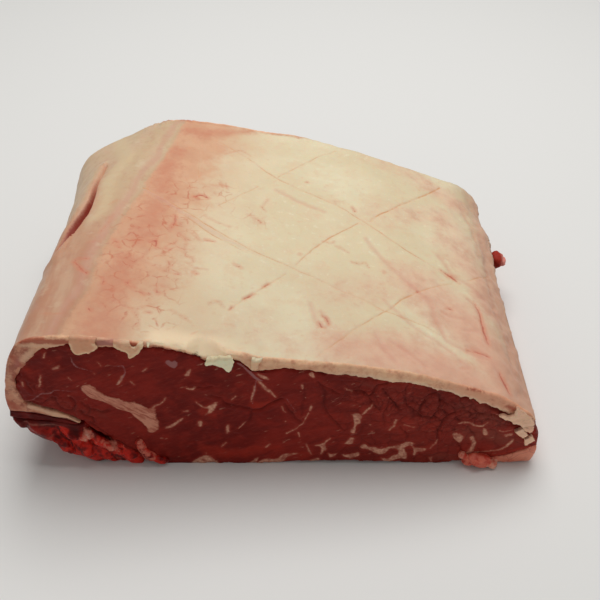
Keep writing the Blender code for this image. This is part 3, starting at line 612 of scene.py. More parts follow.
TAIL_LUMPS = (
    ((77.6, -84.0, 6.4), (1.9, 1.9, 1.8), 0, 0.7),
    ((84.6, -84.6, 4.3), (5.2, 3.6, 3.0), -12, 0.4),
    ((90.2, -84.8, 2.0), (3.0, 3.2, 1.7), -25, 0.8),
    ((80.4, -84.0, 3.0), (2.6, 2.6, 2.2), 10, 0.1),
    ((106.4, -78.4, 9.6), (2.6, 4.6, 4.0), 0, 0.0),
)
# The nub of meat on the lean's right side, as (x, y, z), (half sizes) and turn.
NUB = (
    ((109.6, 29.4, 22.9), (4.0, 4.6, 3.9), 20),
    ((112.3, 29.0, 22.2), (2.5, 3.0, 2.4), 20),
)


# ---------------------------------------------------------------- measuring


def smooth_step(value, low=0.0, high=1.0):
    """0 below low, 1 above high, and an even S between them."""
    share = np.clip((value - low) / (high - low), 0.0, 1.0)
    return share * share * (3.0 - 2.0 * share)


def fade(value, low=0.0, high=1.0):
    """1 below low, 0 above high, and an even S between them."""
    return 1.0 - smooth_step(value, low, high)


def rounded(stroke, closed=False):
    """The stroke's nodes with two more between each pair, on a curve through them all."""
    nodes = np.array(stroke, float)
    if len(nodes) < 3:
        return nodes
    if closed:
        nodes = np.vstack([nodes[-1:], nodes, nodes[:2]])
    else:
        nodes = np.vstack([2 * nodes[0] - nodes[1], nodes, 2 * nodes[-1] - nodes[-2]])
    a, b, c, d = nodes[:-3], nodes[1:-2], nodes[2:-1], nodes[3:]
    steps = [
        0.5 * (2 * b + (c - a) * t + (2 * a - 5 * b + 4 * c - d) * t**2 + (3 * b - a - 3 * c + d) * t**3)
        for t in (0.0, 1 / 3, 2 / 3)
    ]
    curve = np.stack(steps, axis=1).reshape(-1, nodes.shape[1])
    return np.vstack([curve, nodes[-2:-1]])


def crisp(outline):
    """The outline with two more points by each corner, so that its curve keeps the corner."""
    nodes = np.array(outline, float)
    before, after = np.roll(nodes, 1, axis=0), np.roll(nodes, -1, axis=0)
    sides = [nodes + 0.12 * (before - nodes), nodes, nodes + 0.12 * (after - nodes)]
    return np.stack(sides, axis=1).reshape(-1, 2)


def near(points, nodes, far):
    """Which points lie within this distance of the nodes' bounds."""
    low = nodes[:, :2].min(axis=0) - far
    high = nodes[:, :2].max(axis=0) + far
    return np.flatnonzero(((points > low) & (points < high)).all(axis=1))


def pairs(nodes):
    """Each node with the next one, or the only node with itself."""
    return list(zip(nodes, nodes[1:] if len(nodes) > 1 else nodes))


def from_line(points, start, end):
    """How far along a straight line each point lies, 0 to 1, and how far away from it."""
    along = end[:2] - start[:2]
    away = points - start[:2]
    share = np.clip(away @ along / max(along @ along, 1e-9), 0.0, 1.0)
    return share, np.linalg.norm(away - share[:, None] * along, axis=1)


def outside(points, strokes, far=FAR):
    """How far each point lies outside the nearest stroke, up to far. Less than 0 is inside it."""
    nearest = np.full(len(points), far)
    for stroke in strokes:
        nodes = rounded(stroke)
        some = near(points, nodes, far + nodes[:, 2].max())
        for start, end in pairs(nodes):
            share, gap = from_line(points[some], start, end)
            width = start[2] + share * (end[2] - start[2])
            nearest[some] = np.minimum(nearest[some], gap - width)
    return nearest


def beyond(points, outlines, far=FAR):
    """How far each point lies beyond the nearest outline, up to far. Less than 0 is inside one."""
    nearest = np.full(len(points), far)
    for outline in outlines:
        nodes = rounded(outline, closed=True)
        some = near(points, nodes, far)
        spots = points[some]
        gap = np.full(len(spots), far)
        inside = np.zeros(len(spots), bool)
        for start, end in pairs(nodes):
            gap = np.minimum(gap, from_line(spots, start, end)[1])
            along = end - start
            if along[1]:
                spans = (start[1] > spots[:, 1]) != (end[1] > spots[:, 1])
                crossing = start[0] + (spots[:, 1] - start[1]) / along[1] * along[0]
                inside ^= spans & (spots[:, 0] < crossing)
        nearest[some] = np.minimum(nearest[some], np.where(inside, -gap, gap))
    return nearest


def tint_of(points, patches):
    """How strongly each point is tinted by soft patches, given as (x, y, reach, strength)."""
    tint = np.zeros(len(points))
    for patch in patches:
        nodes = np.array(patch)
        for start, end in pairs(nodes):
            share, gap = from_line(points, start, end)
            size = start[2:] + share[:, None] * (end[2:] - start[2:])
            tint = np.maximum(tint, size[:, 1] * fade(gap / size[:, 0]))
    return tint


def side_of(points, line):
    """The signed distance to a line of (x, y) nodes, more than 0 on the left of its travel."""
    best = np.full(len(points), 1e9)
    side = np.ones(len(points))
    for start, end in pairs(np.array(line)):
        gap = from_line(points, start, end)[1]
        along = end - start
        away = points - start
        closer = gap < best
        best = np.where(closer, gap, best)
        side = np.where(closer, np.sign(along[0] * away[:, 1] - along[1] * away[:, 0]), side)
    return best * side


def lumps(points, size, octaves=2, seed=0.0):
    """Smooth noise at these points, about -1 to 1, with lumps of this size."""
    shift = Vector((seed, 2.7 * seed, -1.3 * seed))
    return np.array(
        [noise.fractal(Vector(point) / size + shift, 1.0, 2.0, octaves) for point in points]
    )


def borders(points, size, seed):
    """How far each point lies from the border of its cell, among scattered cells of this size."""
    random = np.random.default_rng(seed)
    jitter = random.random((64, 64, 2))
    place = points / size
    home = np.floor(place).astype(int)
    nearest = np.full((len(points), 2), 9.0)
    for i in range(-2, 3):
        for j in range(-2, 3):
            cell = home + (i, j)
            middle = cell + 0.15 + 0.7 * jitter[cell[:, 0] % 64, cell[:, 1] % 64]
            gap = np.linalg.norm(place - middle, axis=1)
            second = np.clip(gap, nearest[:, 0], nearest[:, 1])
            nearest = np.column_stack([np.minimum(nearest[:, 0], gap), second])
    return (nearest[:, 1] - nearest[:, 0]) * size / 2


# ---------------------------------------------------------------- shaping


def pick(piece):
    """Makes this piece the only selected one."""
    bpy.ops.object.select_all(action="DESELECT")
    piece.select_set(True)
    bpy.context.view_layer.objects.active = piece


def edit(piece, mode):
    """Opens the piece in edit mode with nothing selected, picking faces, edges or verts."""
    pick(piece)
    bpy.ops.object.mode_set(mode="EDIT")
    bpy.ops.mesh.select_mode(type=mode)
    bpy.ops.mesh.select_all(action="DESELECT")


def done():
    """Leaves edit mode."""
    bpy.ops.object.mode_set(mode="OBJECT")


def choose(piece, mode, wanted):
    """Opens the piece in edit mode with its wanted faces or verts selected."""
    edit(piece, mode)
    done()
    items = piece.data.polygons if mode == "FACE" else piece.data.vertices
    items.foreach_set("select", np.asarray(wanted, bool))
    bpy.ops.object.mode_set(mode="EDIT")


def read(items, name, width=3):
    """A vector of each item, or a number of it where width is 1."""
    values = np.zeros(len(items) * width, np.float32)
    items.foreach_get(name, values)
    return values.reshape(-1, width).astype(float) if width > 1 else values.astype(float)


def points_of(piece):
    return read(piece.data.vertices, "co")


def normals_of(piece):
    return read(piece.data.vertex_normals, "vector")


def centres_of(piece):
    """The middles of the piece's faces."""
    return read(piece.data.polygons, "center")


def facing_of(piece):
    """The normals of the piece's faces."""
    return read(piece.data.polygons, "normal")


def move_points(piece, places):
    piece.data.vertices.foreach_set("co", places.astype(np.float32).ravel())
    piece.data.update()


def keep(piece, name, values, joined=0.0):
    """Keeps a number for each point of the piece, for its material, and one for what was joined."""
    made = piece.data.attributes.new(name, "FLOAT", "POINT")
    more = np.full(len(piece.data.vertices) - len(values), joined)
    made.data.foreach_set("value", np.append(values, more).astype(np.float32))


def apply_modifier(piece, kind, **settings):
    pick(piece)
    modifier = piece.modifiers.new(kind.lower(), kind)
    for name, value in settings.items():
        setattr(modifier, name, value)
    bpy.ops.object.modifier_apply(modifier=modifier.name)


def copy_solid(node, name):
    """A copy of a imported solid, with its loose triangles joined into quads."""
    piece = bpy.data.objects.new(name, frame["nodes"][node].data.copy())
    bpy.context.scene.collection.objects.link(piece)
    pick(piece)
    piece.data.materials.clear()
    bpy.ops.mesh.customdata_custom_splitnormals_clear()
    edit(piece, "VERT")
    bpy.ops.mesh.select_all(action="SELECT")
    bpy.ops.mesh.remove_doubles(threshold=1e-5)
    bpy.ops.mesh.tris_convert_to_quads(face_threshold=0.9, shape_threshold=0.9)
    done()
    return piece


def round_off(piece, levels):
    """Divides the piece smoothly, and keeps the edges of its cuts and corners."""
    edit(piece, "EDGE")
    bpy.ops.mesh.edges_select_sharp(sharpness=math.radians(50))
    bpy.ops.transform.edge_crease(value=0.9)
    done()
    apply_modifier(piece, "SUBSURF", levels=levels, render_levels=levels)


def cut_outline(node):
    """A search tree of spots, close together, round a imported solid's front cut, as (x, z) in mm."""
    piece = copy_solid(node, "outline")
    places = points_of(piece)[:, [0, 2]] / MM
    front = [face for face in piece.data.polygons if face.normal.y < -FACING]
    uses = Counter(key for face in front for key in face.edge_keys)
    spots = []
    for start, end in (key for key, count in uses.items() if count == 1):
        steps = int(np.linalg.norm(places[end] - places[start]) / 0.4) + 2
        spots.append(places[start] + np.linspace(0, 1, steps)[:, None] * (places[end] - places[start]))
    spots = np.vstack(spots)
    tree = KDTree(len(spots))
    for i, (x, z) in enumerate(spots):
        tree.insert((x, z, 0), i)
    tree.balance()
    bpy.data.objects.remove(piece)
    return tree


def divide(piece, wanted, cuts):
    """Divides the wanted faces again."""
    choose(piece, "FACE", wanted)
    bpy.ops.mesh.subdivide(number_cuts=cuts)
    done()


def thin_out(piece, wanted, share):
    """Leaves only this share of the wanted faces, away from their edge."""
    choose(piece, "FACE", wanted)
    bpy.ops.mesh.select_less()
    bpy.ops.mesh.decimate(ratio=share)
    done()


def recast(piece, size, finer=()):
    """Gives a rounded piece even faces, then divides some of them again.

    size holds the Remesh modifier's settings, and finer lists what to divide, as a test of the
    piece's faces and the number of cuts."""
    shape = piece.copy()
    shape.data = piece.data.copy()
    bpy.context.scene.collection.objects.link(shape)
    apply_modifier(piece, "REMESH", **size)
    for test, cuts in finer:
        divide(piece, test(piece), cuts)
    pick(piece)
    apply_modifier(piece, "SHRINKWRAP", target=shape)
    bpy.data.objects.remove(shape)


def soften(piece, wanted, factor, times):
    """Rounds the shape where the wanted points are."""
    choose(piece, "VERT", wanted)
    for _ in range(times):
        bpy.ops.mesh.vertices_smooth(factor=factor)
    done()


def torn_scrap(outline, holes, place, thickness, size=0.52, rough=0.15):
    """A thin scrap with this outline; place says where its flat points come to lie.

    The outline and the flat points are (across, up), in millimetres."""
    low = np.min(outline, axis=0) - size
    high = np.max(outline, axis=0) + size
    steps = np.ceil((high - low) / size).astype(int)
    bpy.ops.object.select_all(action="DESELECT")
    bpy.ops.mesh.primitive_grid_add(
        x_subdivisions=int(steps[0]), y_subdivisions=int(steps[1]), size=1, rotation=(math.pi, 0, 0)
    )
    scrap = bpy.context.object

    def frayed(spots):
        away = np.maximum(beyond(spots, [outline]), -beyond(spots, holes))
        return away + 0.22 * lumps(np.column_stack([spots, np.full(len(spots), 7.0)]), 1.6, 2, 3)

    flat = low + (points_of(scrap)[:, :2] * (1, -1) + 0.5) * (high - low)
    move_points(scrap, np.column_stack([flat, np.zeros(len(flat))]))
    choose(scrap, "FACE", frayed(centres_of(scrap)[:, :2]) > 0)
    bpy.ops.mesh.delete(type="FACE")
    done()
    # The steps along the border are drawn onto the outline.
    flat = points_of(scrap)[:, :2]
    probe = 0.05
    for _ in range(3):
        away = frayed(flat)
        slope = [(frayed(flat + step) - away) / probe for step in ((probe, 0), (0, probe))]
        slope = np.column_stack(slope)
        steep = np.maximum((slope**2).sum(axis=1), 0.3)
        move = away[:, None] * slope / steep[:, None]
        flat = flat - np.where(np.abs(away)[:, None] < 0.8 * size, move, 0.0)
    scrap.rotation_euler = (0, 0, 0)
    move_points(scrap, place(flat, frayed(flat)) * MM)
    apply_modifier(scrap, "SOLIDIFY", thickness=thickness * MM, offset=0.0)
    apply_modifier(scrap, "SUBSURF", levels=1, render_levels=1)
    places = points_of(scrap)
    uneven = rough * lumps(places / MM, 3.0, 3, 5)
    move_points(scrap, places + normals_of(scrap) * (uneven * MM)[:, None])
    edit(scrap, "FACE")
    bpy.ops.mesh.select_all(action="SELECT")
    bpy.ops.mesh.normals_make_consistent(inside=False)
    done()
    return scrap


def turn_about_y(places, degrees):
    across, along = math.cos(math.radians(degrees)), math.sin(math.radians(degrees))
    x = places[:, 0] * across - places[:, 2] * along
    z = places[:, 0] * along + places[:, 2] * across
    return np.column_stack([x, places[:, 1], z])


def round_lump(centre, radii, turn, seed, rough):
    """A lump of meat: a ball stretched, pushed about by noise, and turned about Y."""
    bpy.ops.object.select_all(action="DESELECT")
    bpy.ops.mesh.primitive_ico_sphere_add(subdivisions=4, radius=1)
    lump = bpy.context.object
    ball = points_of(lump)
    ball = ball * (1 + rough * lumps(ball, 0.9, 3, seed))[:, None] * radii
    move_points(lump, (turn_about_y(ball, turn) + centre) * MM)
    return lump


def round_lumps(shapes, seed, rough):
    """A lump for each shape, given by its centre, half sizes and turn, and each with its own noise."""
    return [round_lump(*shape[:3], seed + i, rough) for i, shape in enumerate(shapes)]


def join(piece, others):
    """Makes the others part of the piece. Their points come after its own."""
    pick(piece)
    for other in others:
        other.select_set(True)
    bpy.ops.object.join()


def finish_piece(piece, material, node):
    """Gives the piece its material and slot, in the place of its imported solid."""
    piece.data.shade_smooth()
    piece.data.materials.append(material)
    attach(piece, "root")
    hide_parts(node)


# ---------------------------------------------------------------- finishes


def srgb(red, green, blue):
    """A colour given in 0 to 255 as the eye sees it, as the linear one that a shader takes."""
    parts = [part / 255 for part in (red, green, blue)]
    linear = [p / 12.92 if p <= 0.04045 else ((p + 0.055) / 1.055) ** 2.4 for p in parts]
    return (*linear, 1.0)


class Value:
    """A shader socket that takes part in Python sums: each operator adds its Math node."""

    def __init__(self, finish, socket):
        self.finish = finish
        self.socket = socket

    def math(self, operation, *terms):
        return self.finish.add("Math", {"operation": operation}, dict(enumerate(terms)))

    def __add__(self, other):
        return self.math("ADD", self, other)

    def __radd__(self, other):
        return self.math("ADD", other, self)

    def __sub__(self, other):
        return self.math("SUBTRACT", self, other)

    def __rsub__(self, other):
        return self.math("SUBTRACT", other, self)

    def __mul__(self, other):
        return self.math("MULTIPLY", self, other)

    def __rmul__(self, other):
        return self.math("MULTIPLY", other, self)

    def size(self):
        return self.math("ABSOLUTE", self)


class Finish:
    """One material, built round its Principled shader."""

    def __init__(self, name, **constants):
        self.material = bpy.data.materials.new(name)
        self.material.use_nodes = True
        self.nodes = self.material.node_tree.nodes
        self.links = self.material.node_tree.links
        self.shader = self.nodes["Principled BSDF"]
        for socket, value in constants.items():
            self.shader.inputs[socket.replace("_", " ")].default_value = value
        place = self.add("TexCoord", {}, {}, "Object")
        self.place = self.scaled(place, 1 / MM)

    def add(self, kind, settings, sockets, output=0):
        """Adds a node: its settings first, then its sockets' values or links."""
        node = self.nodes.new("ShaderNode" + kind)
        for name, value in settings.items():
            setattr(node, name, value)
        for name, value in sockets.items():
            self.feed(node.inputs[name], value)
        return Value(self, node.outputs[output])

    def feed(self, socket, value):
        """Links a value to a socket, or sets a number, a vector or a linear colour there."""
        if isinstance(value, Value):
            self.links.new(value.socket, socket)
        else:
            socket.default_value = value

    def scaled(self, vector, factor):
        scale = factor if isinstance(factor, tuple) else (factor,) * 3
        return self.add("VectorMath", {"operation": "MULTIPLY"}, {0: vector, 1: scale})

    def mark(self, name):
        """The number that the piece keeps under this name."""
        return self.add("Attribute", {"attribute_name": name}, {}, "Fac")

    def grain(self, size, detail=2.0, rough=0.5, stretch=(1.0, 1.0, 1.0), place=None):
        """Noise from 0 to 1, with lumps of this size in millimetres, longer along a small stretch."""
        spot = self.scaled(place or self.place, tuple(part / size for part in stretch))
        sockets = {"Vector": spot, "Scale": 1.0, "Detail": detail, "Roughness": rough}
        return self.add("TexNoise", {}, sockets, "Fac")

    def along(self, axis):
        """The place's distance from the middle along X, Y or Z, in millimetres."""
        return self.add("SeparateXYZ", {}, {"Vector": self.place}, axis)

    def turned(self, angle, axis="Y_AXIS"):
        """The place turned about an axis, so that a stretched grain runs at this angle."""
        settings = {"rotation_type": axis}
        return self.add("VectorRotate", settings, {"Vector": self.place, "Angle": angle})

    def bent(self, size, by):
        """The place, pushed about by noise of this size, by this many millimetres."""
        spot = self.scaled(self.place, 1 / size)
        push = self.add("TexNoise", {}, {"Vector": spot, "Scale": 1.0, "Detail": 2.0}, "Color")
        push = self.add("VectorMath", {"operation": "SUBTRACT"}, {0: push, 1: (0.5, 0.5, 0.5)})
        push = self.scaled(push, by)
        return self.add("VectorMath", {"operation": "ADD"}, {0: self.place, 1: push})

    def cell_border(self, size, place=None):
        """The distance to the nearest border between cells of this size, in cells."""
        spot = self.scaled(place or self.place, 1 / size)
        settings = {"feature": "DISTANCE_TO_EDGE"}
        return self.add("TexVoronoi", settings, {"Vector": spot, "Scale": 1.0}, "Distance")

    def rise(self, value, low, high, top=1.0):
        """0 where the value is below low, top where it is above high; low may be the larger."""
        sockets = {"Value": value, "From Min": low, "From Max": high, "To Max": top}
        return self.add("MapRange", {"interpolation_type": "SMOOTHSTEP"}, sockets)

    def paint(self, colour, *layers):
        """Lays colours over one another, each layer given as (its share from 0 to 1, its colour)."""
        for share, shade in layers:
            node = self.nodes.new("ShaderNodeMix")
            node.data_type = "RGBA"
            for name, value in (("Factor", share), ("A", colour), ("B", shade)):
                socket = next(s for s in node.inputs if s.name == name and s.enabled)
                self.feed(socket, srgb(*value) if isinstance(value, tuple) else value)
            colour = Value(self, next(s for s in node.outputs if s.enabled))
        return colour

    def dress(self, colour, roughness, height, depth):
        """Feeds the shader. Height is in millimetres, and depth says how much of it shows."""
        sockets = {"Height": height, "Distance": MM, "Strength": depth}
        normal = self.add("Bump", {}, sockets, "Normal")
        feeds = {"Base Color": colour, "Roughness": roughness, "Normal": normal}
        for name, value in feeds.items():
            self.links.new(value.socket, self.shader.inputs[name])
        return self.material


def top_of_fat(fat, noises, aft):
    """The cream of the top, with tan mottles and paler spots, rosier to the front and right."""
    slow, mottle, blotch, _ = noises
    colour = fat.paint(
        (216, 199, 164),
        (fat.rise(slow, 0.35, 0.7), (224, 211, 178)),
        (fat.rise(mottle, 0.48, 0.75, 0.55), (217, 187, 153)),
        (fat.rise(blotch, 0.54, 0.74, 0.35), (213, 174, 139)),
        (fat.rise(blotch, 0.42, 0.28, 0.45), (231, 222, 194)),
    )
    rosy = fat.mark("rosy")
    rosy = rosy + (0.5 * (mottle - 0.5) + 0.3 * (blotch - 0.5)) * fat.rise(rosy, 0.02, 0.3)
    slanted = fat.grain(3.2, 4, 0.6, (0.3, 1.0, 1.0), fat.turned(math.radians(40), "Z_AXIS"))
    softly = 0.75 * mottle + 0.35 * slanted - 0.05
    pinker = fat.paint(
        (224, 185, 157),
        (fat.rise(softly, 0.36, 0.7), (207, 160, 135)),
        (fat.rise(aft, 20, -75, 0.5), (212, 157, 133)),
        (fat.rise(blotch, 0.56, 0.75, 0.3), (204, 150, 124)),
    )
    return fat.paint(colour, (fat.rise(rosy, 0.0, 0.9, 0.95), pinker))


def pink_by_break(fat, colour, noises, aft, flank):
    """Lays pink along the break, which wanes in mottles towards the middle of the top."""
    slow, mottle, blotch, fine = noises
    inland = 0.0 - flank
    ragged = 26 * (mottle - 0.5) + 16 * (slow - 0.5) + 16 * (blotch - 0.5)
    waning = fat.rise(inland + ragged, 34, 15)
    pink = fat.paint(
        (203, 148, 116),
        (fat.rise(fat.grain(14, 3), 0.35, 0.65), (213, 164, 131)),
        (fat.rise(blotch, 0.48, 0.72, 0.6), (196, 128, 98)),
        (fat.rise(fine, 0.6, 0.8, 0.3), (222, 180, 148)),
    )
    colour = fat.paint(
        colour,
        (waning, pink),
        (fat.rise(inland + ragged, 62, 25, 0.4), (211, 168, 134)),
    )
    blush = fat.mark("blush")
    blush = blush + (1.0 * (blotch - 0.5) + 1.0 * (mottle - 0.5)) * fat.rise(blush, 0.02, 0.3)
    colour = fat.paint(colour, (fat.rise(blush, 0.0, 1.1, 0.85), (200, 134, 105)))
    rim = fat.rise(aft + 5 * (blotch - 0.5), 84.5, 88, 0.5)
    return fat.paint(colour, (rim, (190, 120, 90)))


def flank_of_fat(fat, noises, streaks, aft, flank):
    """Greyer cream at the back, pinker to the front, with a pink stripe by the break."""
    slow, mottle, blotch, _ = noises
    rearward = fat.rise(aft + 60 * (mottle - 0.5) + 20 * (slow - 0.5), -45, 35)
    side = fat.paint(
        (190, 138, 110),
        (rearward, (200, 172, 138)),
        (fat.rise(streaks, 0.4, 0.68, 0.6), (207, 176, 147)),
        (fat.rise(mottle, 0.52, 0.72, 0.5), (190, 140, 118)),
        (fat.rise(blotch, 0.5, 0.75, 0.35), (184, 128, 106)),
        (fat.rise(mottle, 0.44, 0.26, 0.45), (216, 196, 166)),
    )
    creamier = fat.mark("pale_flank") + 0.7 * (mottle - 0.5)
    side = fat.paint(side, (fat.rise(creamier, 0.15, 0.85, 0.6), (212, 189, 151)))
    stripe = flank + 6 * (streaks - 0.5) + 4 * (mottle - 0.5) - 4.5
    side = fat.paint(side, (fat.rise(stripe.size(), 3.0, 0.4, 0.45), (198, 146, 126)))
    seamed = flank + 5 * (mottle - 0.5) + 3 * (blotch - 0.5) - 0.8
    seamed = fat.rise(seamed.size(), 1.8, 0.0, 0.4) * fat.rise(mottle, 0.35, 0.6)
    return fat.paint(side, (seamed, (186, 156, 122)))


def marks_on_fat(fat, colour, network, score, ripple, deep):
    """Lays the veins, scores, folds and stains over the colour, and the cleft, red where deep."""
    colour = fat.paint(colour, (0.7 * network, (192, 104, 74)))
    vein = fat.mark("vein") + 1.3 * ripple
    uneven = fat.rise(fat.grain(3, 3), 0.36, 0.62, 0.9) + 0.1
    colour = fat.paint(
        colour,
        (fat.rise(vein, 1.4, 0.0, 0.25), (204, 132, 102)),
        (fat.rise(vein, 0.25, -0.45, 0.7) * uneven, (184, 92, 64)),
    )
    scar = fat.mark("scar") + 1.5 * ripple
    colour = fat.paint(colour, (fat.rise(scar, 0.5, -0.9, 0.32), (204, 162, 142)))
    colour = fat.paint(colour, (fat.rise(score, 1.0, 0.0, 0.18), (218, 176, 142)))
    uneven = fat.rise(fat.grain(11, 3, 0.6), 0.38, 0.64, 0.8) + 0.1
    colour = fat.paint(colour, (fat.rise(score, 0.16, -0.45) * uneven, (204, 148, 106)))
    fold = fat.mark("fold") + 1.5 * ripple
    colour = fat.paint(colour, (fat.rise(fold, 1.8, -0.6, 0.36), (206, 146, 124)))
    stain = fat.mark("blood") + ripple
    colour = fat.paint(
        colour,
        (fat.rise(stain, 1.6, 0.0, 0.35), (208, 126, 98)),
        (fat.rise(stain, 0.2, -0.6, 0.8), (176, 62, 44)),
    )
    cleft = fat.mark("cleft") + ripple
    return fat.paint(
        colour,
        (fat.rise(cleft, 3.6, 0.0, 0.45), (204, 142, 112)),
        (fat.rise(cleft, 0.6, -0.5, 0.5), (168, 88, 62)),
        (fat.rise(cleft, 1.1, -0.2, 0.92) * deep, (136, 42, 30)),
    )


def cut_of_fat(fat, noises, ripple, across):
    """The fat's cut face, browner or silvery by the lean, with tinted patches at its left end."""
    _, mottle, blotch, _ = noises
    face = fat.paint(
        (246, 198, 158),
        (fat.rise(blotch, 0.35, 0.68), (230, 174, 138)),
        (fat.rise(across, 55, 80, 0.75), (228, 162, 130)),
    )
    ragged = 1.6 * (blotch - 0.5) + ripple
    by_lean = fat.mark("seam") + ragged
    rightward = fat.rise(across, 8, 36)
    nearby = fat.paint((206, 138, 108), (rightward, (246, 218, 186)))
    face = fat.paint(face, (fat.rise(by_lean, 2.4, 0.6) * (0.35 + 0.15 * rightward), nearby))
    reddish = fat.paint((158, 76, 58), (fat.rise(fat.grain(3, 4, 0.65), 0.4, 0.6), (206, 138, 108)))
    face = fat.paint(
        face,
        (fat.rise(fat.mark("left_end") + 0.8 * (mottle - 0.5), 0.25, 0.8, 0.9), reddish),
    )
    rough = 1.5 * (blotch - 0.5) + ripple
    face = fat.paint(
        face,
        (fat.rise(fat.mark("rusty") + rough, 0.0, 0.8, 0.9), (180, 92, 68)),
        (fat.rise(fat.mark("purple") + 0.5 * rough, 0.1, 0.8, 0.85), (176, 108, 100)),
    )
    # The creamy mark also holds a painted highlight along the top of the purple patch.
    creamy_and_highlit = fat.mark("creamy_and_highlit")
    creamy_and_highlit = fat.rise(creamy_and_highlit + rough * fat.rise(creamy_and_highlit, 0.0, 0.3), 0.0, 0.9, 0.9)
    face = fat.paint(face, (creamy_and_highlit, (226, 178, 146)))
    darkened = fat.rise(by_lean, 0.5, -0.1) * (0.7 - 0.6 * creamy_and_highlit) * (1.0 - 0.4 * rightward)
    return fat.paint(
        face,
        (darkened, (150, 66, 50)),
        (fat.mark("spare"), (98, 18, 14)),
    )


def torn_fat(fat, tone, blotch, across):
    """The torn scraps, from brown to the palest cream."""
    torn = fat.paint(
        (228, 158, 122),
        (fat.rise(tone, 0.2, 0.6), (250, 206, 166)),
        (fat.rise(tone, 0.6, 1.0), (255, 244, 206)),
    )
    reddened = fat.rise(blotch, 0.5, 0.72, 0.5) * fat.rise(tone, 1.0, 0.5)
    return fat.paint(
        torn,
        (reddened, (210, 132, 102)),
        (fat.rise(across, 84, 90, 0.75), (255, 204, 174)),
    )


def fat_finish():
    """Cream fat, blushing pink where it thins, scored and veined, with browner cut faces."""
    fat = Finish(
        "creamy_fat",
        Subsurface_Weight=0.15,
        Subsurface_Radius=(1.0, 0.45, 0.25),
        Subsurface_Scale=0.003,
        Specular_IOR_Level=0.22,
    )
    slow = fat.grain(38, 3)
    mottle = fat.grain(9, 4, 0.6)
    blotch = fat.grain(3.4, 4, 0.65)
    fine = fat.grain(1.2, 3, 0.6)
    streaks = fat.grain(7, 3, 0.55, (1.0, 0.2, 0.5))
    ripple = 0.7 * (fine - 0.5)
    flank = fat.mark("flank")
    aft = fat.along("Y")
    across = fat.along("X")
    noises = (slow, mottle, blotch, fine)

    colour = top_of_fat(fat, noises, aft)
    colour = pink_by_break(fat, colour, noises, aft, flank)
    on_flank = fat.rise(flank + 4.5 * (blotch - 0.5) + 2 * (mottle - 0.5), -1.2, 1.4)
    colour = fat.paint(colour, (on_flank, flank_of_fat(fat, noises, streaks, aft, flank)))

    # A net of fine veins that comes and goes, and the other marks.
    cells = fat.cell_border(7, fat.bent(5, 3.5))
    broken = fat.rise(fat.grain(5, 3, 0.6), 0.42, 0.64) * fat.rise(fat.mark("network"), 0.15, 0.7)
    network = fat.rise(cells, 0.08, 0.0) * broken
    score = fat.mark("score") + 0.5 * ripple
    deep = fat.rise(aft + 8 * (mottle - 0.5), 42, 8)
    colour = marks_on_fat(fat, colour, network, score, ripple, deep)

    # Shade to the front and the right, and light on the face that slopes down to the lean.
    nearer = fat.rise(aft + 20 * (mottle - 0.5), 10, -80, 0.14) * (1.0 - 0.5 * fat.rise(across, 10, 60))
    colour = fat.paint(
        colour,
        (nearer, (140, 104, 80)),
        (fat.rise(across, 84, 102, 0.26), (150, 96, 74)),
        (0.65 * fat.mark("slope"), (240, 214, 178)),
    )

    # The cut faces, and the torn scraps with the fat that they lie on. The palest scraps take painted shade
    # where they lie back over the rim, to match their hanging part.
    tone = fat.mark("scrap") + 0.35 * (blotch - 0.5)
    colour = fat.paint(
        colour,
        (fat.mark("cut"), cut_of_fat(fat, noises, ripple, across)),
        (0.6 * fat.rise(tone, 0.8, 1.0), (196, 182, 148)),
        (fat.mark("hang"), torn_fat(fat, tone, blotch, across)),
    )

    roughness = 0.45 + 0.2 * fat.grain(3, 2) - 0.1 * on_flank
    height = 0.3 * blotch * (1.0 - 0.75 * on_flank) + 0.08 * fine + 0.25 * streaks * on_flank
    height = height - 0.06 * fat.rise(score, 0.3, -0.3) - 0.08 * network
    return fat.dress(colour, roughness, height, 0.5)


